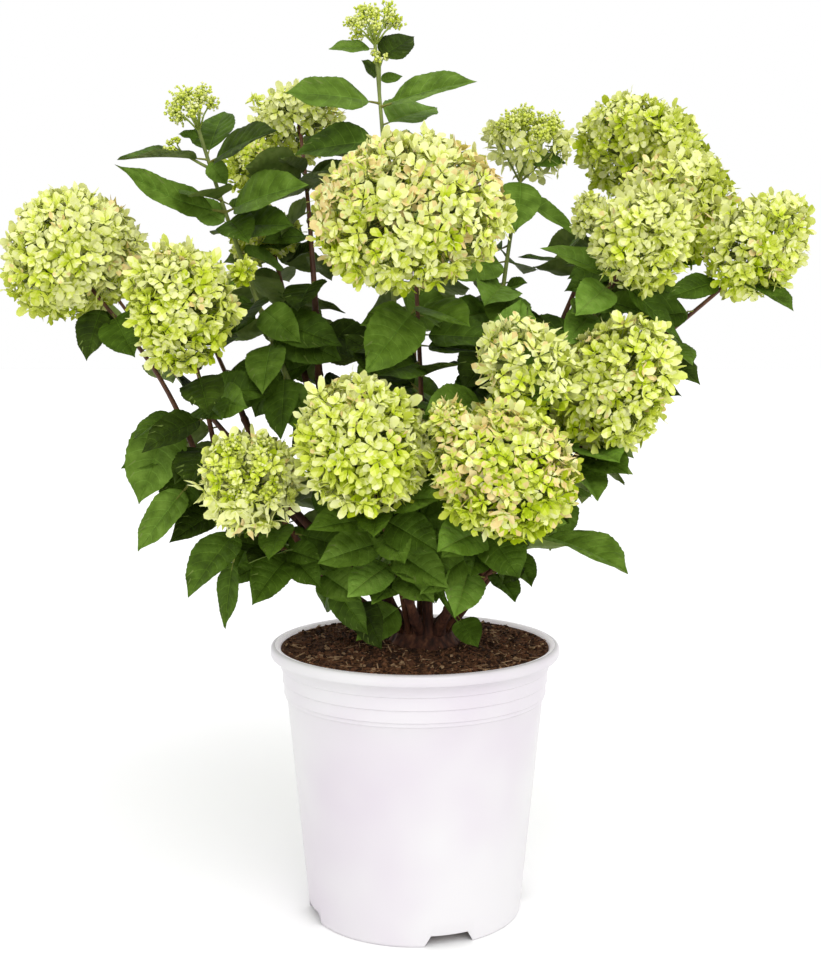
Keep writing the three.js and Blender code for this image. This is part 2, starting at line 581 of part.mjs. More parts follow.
const shoots = SHOOTS.map((shoot, i) => {
  const random = seeded(100 + i);
  const { body, stemLine } = stemAndHeads(shoot, random);
  keep(shoot.name, body);
  return { shoot, random, body, stemLine, start: STEM_LEAFY_FROM };
});
const lowShoots = LOW_SHOOTS.map((shoot, i) => {
  const stemLine = stretch(lines[shoot.name], 0, 1);
  const stem = tapered(stemLine, STEM_RADIUS, STEM_TIP_RADIUS, STEM_SIDES, STEM_STEPS);
  const body = stem.subtract(makeWoodyCrown(GAP));
  keep(shoot.name, body);
  return { shoot, random: seeded(200 + i), body, stemLine, start: LOW_STEM_LEAFY_FROM };
});
for (const { shoot, random, body, stemLine, start } of [...shoots, ...lowShoots]) {
  add("shoot_" + shoot.name, growLeaves(shoot, start, stemLine, body, random), SHOOT_GREEN);
}

export default group;
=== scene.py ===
# A panicle hydrangea in flower, growing in a white nursery pot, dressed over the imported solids.
# The frame is the solids' own: +Z up, the origin at the centre of the pot's flat underside, the front
# facing -Y. Sizes are written in millimetres, and MM brings them to Blender's metres.

import math

import bpy
import numpy as np
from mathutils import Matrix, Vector, noise
from mathutils.bvhtree import BVHTree


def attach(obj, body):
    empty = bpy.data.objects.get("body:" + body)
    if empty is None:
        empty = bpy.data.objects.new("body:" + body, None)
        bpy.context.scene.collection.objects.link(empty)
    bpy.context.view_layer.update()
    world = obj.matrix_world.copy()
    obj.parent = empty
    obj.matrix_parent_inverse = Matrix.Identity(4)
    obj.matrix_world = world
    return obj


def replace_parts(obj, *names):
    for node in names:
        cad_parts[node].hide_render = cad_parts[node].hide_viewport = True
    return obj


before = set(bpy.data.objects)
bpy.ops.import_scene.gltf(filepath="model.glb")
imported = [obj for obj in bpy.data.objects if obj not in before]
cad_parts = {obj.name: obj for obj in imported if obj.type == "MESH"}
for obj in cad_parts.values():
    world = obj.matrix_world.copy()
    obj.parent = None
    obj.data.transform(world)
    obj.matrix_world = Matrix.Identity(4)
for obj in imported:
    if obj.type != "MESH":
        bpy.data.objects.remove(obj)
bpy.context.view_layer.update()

# Pot
# A thin nursery pot, moulded in white polypropylene: a straight tapering wall on a skirt, a wider collar
# with three moulded rings, a rolled lip, a raised floor round a flat pad, and four notches in the foot
# that let water out. It is one turned shell, and the notches are cut out of its skirt.
MM = 0.001
POT_HEIGHT = 217
RIM_RADIUS = 115
COLLAR_FOOT = 175
COLLAR_FOOT_RADIUS = 102
COLLAR_RINGS = [179.1, 188.8, 198.9]
RING_STEP = 1.0
RING_ROUND = 0.8
BASE_RADIUS = 85.5
PAD_RADIUS = 56
FLOOR_RISE = 10
WALL = 2
POT_SIDES = 160
NOTCHES = 4
NOTCH_HEIGHT = 9
NOTCH_FOOT_WIDTH = 40
NOTCH_TOP_WIDTH = 29
NOTCH_CUT = 20
FIRST_NOTCH = 288
EDGE_ROUND = 0.45
EDGES_ROUNDED_FROM = 55
SMOOTH_UP_TO = 38
# the lip's painted glow, painted light on its shaded inner side: its strength, and the height above which and
# the radius within which faces get it
LIP_PAINTED_GLOW = 0.25
LIP_PAINTED_GLOW_FROM = 211
LIP_PAINTED_GLOW_WITHIN = 111.5


def paint(red, green, blue):
    """A colour as the screen shows it, from 0 to 255, brought to the shader's linear light."""
    return [((part / 255 + 0.055) / 1.055) ** 2.4 for part in (red, green, blue)] + [1]


def shader_of(material):
    return material.node_tree.nodes["Principled BSDF"]


def finish(name, color, roughness, specular=0.5):
    """A new material with its shader's own sockets set."""
    material = bpy.data.materials.new(name)
    material.use_nodes = True
    shader_of(material).inputs["Base Color"].default_value = color
    shader_of(material).inputs["Roughness"].default_value = roughness
    shader_of(material).inputs["Specular IOR Level"].default_value = specular
    return material


def add_noise(material, scale, detail, squeeze=(1, 1, 1)):
    """A noise on the piece's own place, its grain drawn out by squeeze. Returns the noise's output."""
    nodes, links = material.node_tree.nodes, material.node_tree.links
    place = nodes.new("ShaderNodeTexCoord")
    mapping = nodes.new("ShaderNodeMapping")
    mapping.inputs["Scale"].default_value = squeeze
    links.new(place.outputs["Object"], mapping.inputs["Vector"])
    pattern = nodes.new("ShaderNodeTexNoise")
    pattern.inputs["Scale"].default_value = scale
    pattern.inputs["Detail"].default_value = detail
    links.new(mapping.outputs["Vector"], pattern.inputs["Vector"])
    return pattern.outputs["Fac"]


def grained(name, color, roughness, specular, grain, stops, relief, fine_grain=None):
    """A finish whose colour runs through the stops by a noise, with a bump from it or from a finer one.

    A grain is a noise's scale, detail and squeeze, a stop a share and a colour, and the relief the bump's
    strength and its depth in metres.
    """
    material = finish(name, color, roughness, specular)
    nodes, links = material.node_tree.nodes, material.node_tree.links
    shade = add_noise(material, *grain)
    ramp = nodes.new("ShaderNodeValToRGB")
    while len(ramp.color_ramp.elements) < len(stops):
        ramp.color_ramp.elements.new(0.5)
    for element, (share, stop_color) in zip(ramp.color_ramp.elements, stops):
        element.position = share
        element.color = stop_color
    links.new(shade, ramp.inputs["Fac"])
    links.new(ramp.outputs["Color"], shader_of(material).inputs["Base Color"])
    bump = nodes.new("ShaderNodeBump")
    bump.inputs["Strength"].default_value, bump.inputs["Distance"].default_value = relief
    links.new(add_noise(material, *fine_grain) if fine_grain else shade, bump.inputs["Height"])
    links.new(bump.outputs["Normal"], shader_of(material).inputs["Normal"])
    return material


def select_only(piece):
    """Leaves one object selected and active, as the operators need it."""
    bpy.ops.object.select_all(action="DESELECT")
    piece.select_set(True)
    bpy.context.view_layer.objects.active = piece


def raise_rings(radius, height, profile):
    """Extrudes the selected ring of edges through a profile of radii and heights, in millimetres."""
    for next_radius, next_height in profile:
        rise = (next_height - height) * MM
        grow = next_radius / radius
        bpy.ops.mesh.extrude_edges_move(TRANSFORM_OT_translate={"value": (0, 0, rise)})
        bpy.ops.transform.resize(value=(grow, grow, 1), center_override=(0, 0, 0))
        radius, height = next_radius, next_height


def turned_shell(name, sides, first, profile):
    """A closed body of rings round the upright axis, with both end rings filled. Left in edit mode."""
    bpy.ops.object.select_all(action="DESELECT")
    bpy.ops.mesh.primitive_circle_add(vertices=sides, radius=first[0] * MM, location=(0, 0, 0))
    shell = bpy.context.object
    shell.name = name
    bpy.ops.object.mode_set(mode="EDIT")
    bpy.ops.mesh.select_mode(type="EDGE")
    bpy.ops.mesh.select_all(action="SELECT")
    bpy.ops.transform.translate(value=(0, 0, first[1] * MM))
    bpy.ops.mesh.edge_face_add()
    raise_rings(first[0], first[1], profile)
    bpy.ops.mesh.edge_face_add()
    bpy.ops.mesh.select_all(action="SELECT")
    bpy.ops.mesh.normals_make_consistent(inside=False)
    return shell


# the wall in section, from the pad outwards and up, over the lip and down the inside: radii and heights
skirt = [
    (PAD_RADIUS + 6, FLOOR_RISE), (BASE_RADIUS - 3.2, FLOOR_RISE), (BASE_RADIUS - 3.4, 1),
    (BASE_RADIUS - 2.8, 0.2), (BASE_RADIUS - 2, 0), (BASE_RADIUS - 1, 0.3), (BASE_RADIUS - 0.3, 1.1),
    (BASE_RADIUS, 2.5),
]
wall = [
    (BASE_RADIUS + (COLLAR_FOOT_RADIUS - BASE_RADIUS) * share / 10, 2.5 + (COLLAR_FOOT - 3.5) * share / 10)
    for share in range(1, 11)
]
collar = [(COLLAR_FOOT_RADIUS + 0.5, COLLAR_FOOT), (COLLAR_FOOT_RADIUS + 1.4, COLLAR_FOOT + 0.8)]
for count, ring in enumerate(COLLAR_RINGS):
    radius = COLLAR_FOOT_RADIUS + 1.5 + count * (RING_STEP + 0.1)
    collar += [(radius, ring - RING_ROUND), (radius + RING_STEP * 0.8, ring - RING_ROUND * 0.3)]
    collar += [(radius + RING_STEP * 1.25, ring + RING_ROUND * 0.2), (radius + RING_STEP, ring + RING_ROUND)]
under_lip = [(-8, -13.5), (-7, -11), (-5, -9.4), (-2.4, -9), (-0.8, -8.4), (-0.1, -7)]
over_lip = [
    (0, -4.5), (-0.2, -2.2), (-1, -0.8), (-2.2, -0.1), (-3.6, 0), (-5, -0.2), (-6.2, -0.7), (-7.2, -1.5),
    (-7.9, -2.6), (-8.6, -7), (-10.2, -13),
]
lip = [(RIM_RADIUS + out, POT_HEIGHT + up) for out, up in under_lip + over_lip]
inside = [
    (COLLAR_FOOT_RADIUS - WALL + 1, COLLAR_FOOT + 3), (COLLAR_FOOT_RADIUS - WALL, COLLAR_FOOT),
    (BASE_RADIUS - WALL - 1, FLOOR_RISE + WALL), (PAD_RADIUS + 5, FLOOR_RISE + WALL), (PAD_RADIUS - 1, WALL),
]
pot = turned_shell("white_nursery_pot", POT_SIDES, (PAD_RADIUS, 0), skirt + wall + collar + lip + inside)
bpy.ops.object.mode_set(mode="OBJECT")

for count in range(NOTCHES):
    turn = math.radians(FIRST_NOTCH + 90 + count * 360 / NOTCHES)
    middle = BASE_RADIUS + 2
    place = (math.sin(turn) * middle * MM, -math.cos(turn) * middle * MM, (NOTCH_HEIGHT - 1) / 2 * MM)
    bpy.ops.object.select_all(action="DESELECT")
    bpy.ops.mesh.primitive_cube_add(size=1, location=place, rotation=(0, 0, turn))
    cutter = bpy.context.object
    cutter.scale = ((NOTCH_FOOT_WIDTH + 1) * MM, NOTCH_CUT * MM, (NOTCH_HEIGHT + 1) * MM)
    bpy.ops.object.mode_set(mode="EDIT")
    bpy.ops.mesh.select_mode(type="FACE")
    bpy.ops.mesh.select_all(action="DESELECT")
    bpy.ops.object.mode_set(mode="OBJECT")
    for face in cutter.data.polygons:
        face.select = face.normal.z > 0.5
    bpy.ops.object.mode_set(mode="EDIT")
    narrow = NOTCH_TOP_WIDTH / NOTCH_FOOT_WIDTH
    bpy.ops.transform.resize(value=(narrow, narrow, 1), center_override=place)
    bpy.ops.object.mode_set(mode="OBJECT")
    select_only(pot)
    cut = pot.modifiers.new("notch", "BOOLEAN")
    cut.operation = "DIFFERENCE"
    cut.solver = "EXACT"
    cut.object = cutter
    bpy.ops.object.modifier_apply(modifier=cut.name)
    bpy.data.objects.remove(cutter)
soften = pot.modifiers.new("soft_edges", "BEVEL")
soften.width = EDGE_ROUND * MM
soften.segments = 2
soften.limit_method = "ANGLE"
soften.angle_limit = math.radians(EDGES_ROUNDED_FROM)
bpy.ops.object.modifier_apply(modifier=soften.name)
bpy.ops.object.shade_smooth_by_angle(angle=math.radians(SMOOTH_UP_TO))

# satin plastic, faintly clouded from lilac white to grey white, with the mould's very fine grain: the lilac
# clouds are a painted reflection, laid at random
clouds = [(0.3, paint(211, 203, 212)), (0.62, paint(220, 218, 220))]
mould_relief = (0.06, 0.0002)
mould_grain = (900, 2)
moulded = grained(
    "moulded_white_plastic", paint(217, 212, 218), 0.34, 0.5, (9, 2), clouds, mould_relief, mould_grain)
shader_of(moulded).inputs["Coat Weight"].default_value = 0.12
shader_of(moulded).inputs["Coat Roughness"].default_value = 0.25
pot.data.materials.append(moulded)

# the lip's inner side gets a lighter colour and a faint glow: painted light where the plant and the mix shade
# it
lip_painted_glow = finish("rolled_lip_painted_glow", paint(238, 233, 238), 0.4)
shader_of(lip_painted_glow).inputs["Emission Color"].default_value = paint(250, 244, 249)
shader_of(lip_painted_glow).inputs["Emission Strength"].default_value = LIP_PAINTED_GLOW
pot.data.materials.append(lip_painted_glow)
for face in pot.data.polygons:
    if face.center.z > LIP_PAINTED_GLOW_FROM * MM and math.hypot(*face.center[:2]) < LIP_PAINTED_GLOW_WITHIN * MM:
        face.material_index = 1
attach(pot, "root")
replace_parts(pot, "pot")

# Potting mix
# Dark composted bark and peat that fills the pot to just under its lip and rises to a low mound round the
# plant's foot. It is one closed body with a lumpy top, and bark chips and fibres lie loose on it.
MIX_TOP = 214.5
MOUND = 3.5
CROWN_AT = (8, -2)
MIX_SIDES = 144
MIX_RINGS = 44
MIX_LUMPS = 1.7
MOUND_FROM, MOUND_TO = 92, 46
MIX_EDGE = 106
CHIPS = 3400
CHIP_SMALL, CHIP_LARGE = 1.2, 4.8
FIBRES = 300
LITTER_REACH = 104.5


def mix_height(x, y):
    """The height of the mix's top over a point, in millimetres: a mound with lumps of several sizes."""
    out = math.hypot(x, y)
    rise = MOUND * max(0.0, min(1.0, (MOUND_FROM - out) / (MOUND_FROM - MOUND_TO)))
    lumps = noise.noise((x * 0.07, y * 0.07, 3)) * 1.1 + noise.noise((x * 0.25, y * 0.25, 8)) * 0.8
    fade = max(0.0, min(1.0, (MIX_EDGE - out) / 8))
    return MIX_TOP + rise + (lumps * MIX_LUMPS - 0.4) * fade


mix_side = [
    (BASE_RADIUS - WALL - 1.4, FLOOR_RISE + WALL + 0.3), (COLLAR_FOOT_RADIUS - WALL - 0.6, COLLAR_FOOT),
    (104.2, 204.5), (106.1, 210), (106.8, MIX_TOP - 0.8),
]
mix_top = [(106.6 * (1 - ring / MIX_RINGS), MIX_TOP) for ring in range(MIX_RINGS)]
mix = turned_shell("potting_mix_bed", MIX_SIDES, (PAD_RADIUS - 2, WALL + 0.3), mix_side + mix_top)
bpy.ops.mesh.select_all(action="DESELECT")
bpy.ops.object.mode_set(mode="OBJECT")
for corner in mix.data.vertices:
    if corner.co.z > (MIX_TOP - 0.5) * MM:
        corner.co.z = mix_height(corner.co.x / MM, corner.co.y / MM) * MM
bpy.ops.object.shade_smooth()

browns = [
    (0.32, paint(44, 26, 16)), (0.5, paint(84, 54, 34)),
    (0.66, paint(124, 88, 62)), (0.8, paint(156, 122, 92)),
]
loam = grained("composted_bark_and_peat", paint(62, 42, 30), 0.95, 0.15, (340, 6), browns, (0.9, 0.0022))
mix.data.materials.append(loam)
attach(mix, "root")
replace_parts(mix, "potting_mix")


def joined_piece(name, parts, finishes):
    """One object from parts, each its corners in millimetres, its triangles and each triangle's finish."""
    corners = np.concatenate([part[0] for part in parts]) * MM
    starts = np.cumsum([0] + [len(part[0]) for part in parts[:-1]])
    faces = np.concatenate([part[1] + start for part, start in zip(parts, starts)])
    finish_of = np.concatenate([part[2] for part in parts])
    mesh = bpy.data.meshes.new(name)
    mesh.vertices.add(len(corners))
    mesh.vertices.foreach_set("co", corners.astype(np.float32).ravel())
    mesh.loops.add(faces.size)
    mesh.loops.foreach_set("vertex_index", faces.astype(np.int32).ravel())
    mesh.polygons.add(len(faces))
    mesh.polygons.foreach_set("loop_start", np.arange(0, faces.size, 3, dtype=np.int32))
    mesh.polygons.foreach_set("material_index", finish_of.astype(np.int32))
    mesh.polygons.foreach_set("use_smooth", np.ones(len(faces), bool))
    mesh.update(calc_edges=True)
    mesh.validate()
    for material in finishes:
        mesh.materials.append(material)
    piece = bpy.data.objects.new(name, mesh)
    bpy.context.scene.collection.objects.link(piece)
    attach(piece, "root")
    return piece


def copies(corners, faces, turns, sizes, places):
    """Many copies of one small shape as one part: each turned, sized and placed. Faces are numbered on."""
    many = np.einsum("nij,nvj->nvi", turns, corners[None] * sizes[:, None, :]) + places[:, None, :]
    steps = np.arange(len(places))[:, None, None] * corners.shape[0]
    return many.reshape(-1, 3), (faces[None] + steps).reshape(-1, 3)


def unit(vectors):
    """Each row brought to length 1."""
    return vectors / np.maximum(np.linalg.norm(vectors, axis=-1, keepdims=True), 1e-9)


def any_turns(draw, count):
    """Random turns, one 3 by 3 matrix each."""
    first = unit(draw.normal(size=(count, 3)))
    second = unit(np.cross(first, draw.normal(size=(count, 3))))
    return np.stack([first, second, np.cross(first, second)], axis=2)


def flat_turns(draw, count, tilt):
    """Turns that lay a shape's third axis near the upright, spun any way round."""
    up = unit(np.array([0, 0, 1]) + draw.normal(size=(count, 3)) * tilt)
    side = unit(np.cross(up, draw.normal(size=(count, 3))))
    return np.stack([side, np.cross(up, side), up], axis=2)


# the loose bits: a chip is a rough slab of eight corners, and a fibre the same slab drawn out thin
draw = np.random.default_rng(7)
chip = np.array([[x, y, z] for x in (-0.5, 0.5) for y in (-0.5, 0.5) for z in (-0.5, 0.5)], float)
chip *= np.array([
    [1, 1, 0.7], [0.8, 1, 1], [1, 0.9, 1], [1, 1, 0.8], [0.9, 1, 1], [1, 0.8, 1], [1, 1, 1], [0.7, 0.9, 1],
])
chip_faces = np.array([
    [0, 1, 3], [0, 3, 2], [4, 6, 7], [4, 7, 5], [0, 4, 5], [0, 5, 1],
    [2, 3, 7], [2, 7, 6], [0, 2, 6], [0, 6, 4], [1, 5, 7], [1, 7, 3],
])
out = np.sqrt(draw.random(CHIPS)) * LITTER_REACH
way = draw.random(CHIPS) * 2 * math.pi
ground = np.array([[o * math.cos(w), o * math.sin(w), mix_height(o * math.cos(w), o * math.sin(w))]
                   for o, w in zip(out, way)])
long_side = CHIP_SMALL + (CHIP_LARGE - CHIP_SMALL) * draw.random(CHIPS) ** 3
wide_side = long_side * draw.uniform(0.4, 0.8, CHIPS)
slabs = np.stack([long_side, wide_side, long_side * draw.uniform(0.25, 0.5, CHIPS)], 1)
chips = copies(chip, chip_faces, flat_turns(draw, CHIPS, 0.45), slabs, ground + [0, 0, 0.25])
chip_finish = np.repeat(draw.choice(4, CHIPS, p=[0.42, 0.34, 0.16, 0.08]), len(chip_faces))
fibre_at = draw.choice(CHIPS, FIBRES)
splinters = np.stack([draw.uniform(low, high, FIBRES) for low, high in [(5, 14), (0.5, 1.0), (0.4, 0.7)]], 1)
fibres = copies(chip, chip_faces, flat_turns(draw, FIBRES, 0.2), splinters, ground[fibre_at] + [0, 0, 0.7])
fibre_finish = np.repeat(draw.choice([2, 3], FIBRES), len(chip_faces))
bits = []
for name, color in [("bark_chip_dark", (54, 34, 22)), ("bark_chip_brown", (96, 62, 42)),
                    ("bark_chip_russet", (122, 82, 56)), ("bark_chip_pale", (172, 140, 106))]:
    deep = [part * 0.6 for part in paint(*color)[:3]] + [1]
    shades = [(0.35, deep), (0.65, paint(*color))]
    bits.append(grained(name, paint(*color), 0.9, 0.2, (700, 4), shades, (0.5, 0.0006)))
litter = joined_piece("bark_chips", [(*chips, chip_finish), (*fibres, fibre_finish)], bits)
litter.data.polygons.foreach_set("use_smooth", np.zeros(len(litter.data.polygons), bool))

# Woody crown
# The low stump of old cut-back wood that every cane springs from. It sits in the mix on a flared foot, is
# dark and lumpy, and swells under each cane.
CROWN_FOOT_RADIUS = 34
CROWN_TOP_RADIUS = 23
CROWN_HEIGHT = 20
CANE_RING = 17
CROWN_BASE = MIX_TOP + MOUND
CANE_FEET = [205, 178, 228, 278, 258, 302, 328, 10, 142, 95, 45]
LOBE_SWELL = 1.6
LOBE_TURN = 13

# the stump in section, from its foot inwards and up: radii and heights above its base
crown_profile = [
    (CROWN_FOOT_RADIUS - 4, -1), (CROWN_FOOT_RADIUS - 6, 1.5), (CROWN_TOP_RADIUS + 3, 4),
    (CROWN_TOP_RADIUS + 1, 7), (CROWN_TOP_RADIUS - 1, 10), (CROWN_TOP_RADIUS - 3, 13),
    (CROWN_TOP_RADIUS - 6, 15), (CROWN_TOP_RADIUS - 10, 16), (9, 16.4), (5, 16.5), (1.5, 16.5),
]
crown = turned_shell("woody_crown_bark", 72, (CROWN_FOOT_RADIUS - 3, -5), crown_profile)
bpy.ops.mesh.subdivide(number_cuts=1)
bpy.ops.object.mode_set(mode="OBJECT")
for corner in crown.data.vertices:
    x, y, z = corner.co / MM
    out = max(math.hypot(x, y), 0.01)
    turn = math.degrees(math.atan2(y, x))
    lobes = sum(math.exp(-(((turn - foot + 180) % 360 - 180) / LOBE_TURN) ** 2) for foot in CANE_FEET)
    lumps = noise.noise((x * 0.13, y * 0.13, z * 0.13)) * 2.2 + noise.noise((x * 0.5, y * 0.5, z * 0.2)) * 0.9
    grow = 1 + (lobes * LOBE_SWELL - 1.4 + lumps * 0.7) / CROWN_FOOT_RADIUS
    x, y, z = x * grow + CROWN_AT[0], y * grow + CROWN_AT[1], z * (1 + lumps * 0.03) + CROWN_BASE
    corner.co = (x * MM, y * MM, z * MM)
bpy.ops.object.shade_smooth()

streaks = [
    (0.28, paint(38, 22, 16)), (0.5, paint(72, 42, 30)),
    (0.68, paint(104, 66, 46)), (0.84, paint(134, 100, 76)),
]
upright = (1, 1, 0.16)
bark = grained("brown_cane_bark", paint(94, 62, 44), 0.8, 0.25, (260, 5, upright), streaks, (0.8, 0.0012))
crown.data.materials.append(bark)
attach(crown, "root")
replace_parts(crown, "woody_crown")

# Canes and branches
# Woody limbs as thick as a pencil, red-brown with fissured bark and a swollen ring at each old leaf pair.
# Canes spring from the crown and branches from the canes, along the same lines as their solids: each rises
# steeply first and then leans out, by its bow. A straight rod is shaped once and laid along every line.
CANE_RADIUS = 4.4
BRANCH_RADIUS = 3.4
LIMB_TIP_RADIUS = 2.6
BOW_RISE = 1.1
LINE_STEPS = 400
ROD_SIDES = 14
ROD_CUTS = 110
FLARE = 0.45
FLARE_REACH = 7
NODE_EVERY = 34
NODE_SWELL = 0.2
NODE_REACH = 2.2
BARK_RELIEF = 0.16

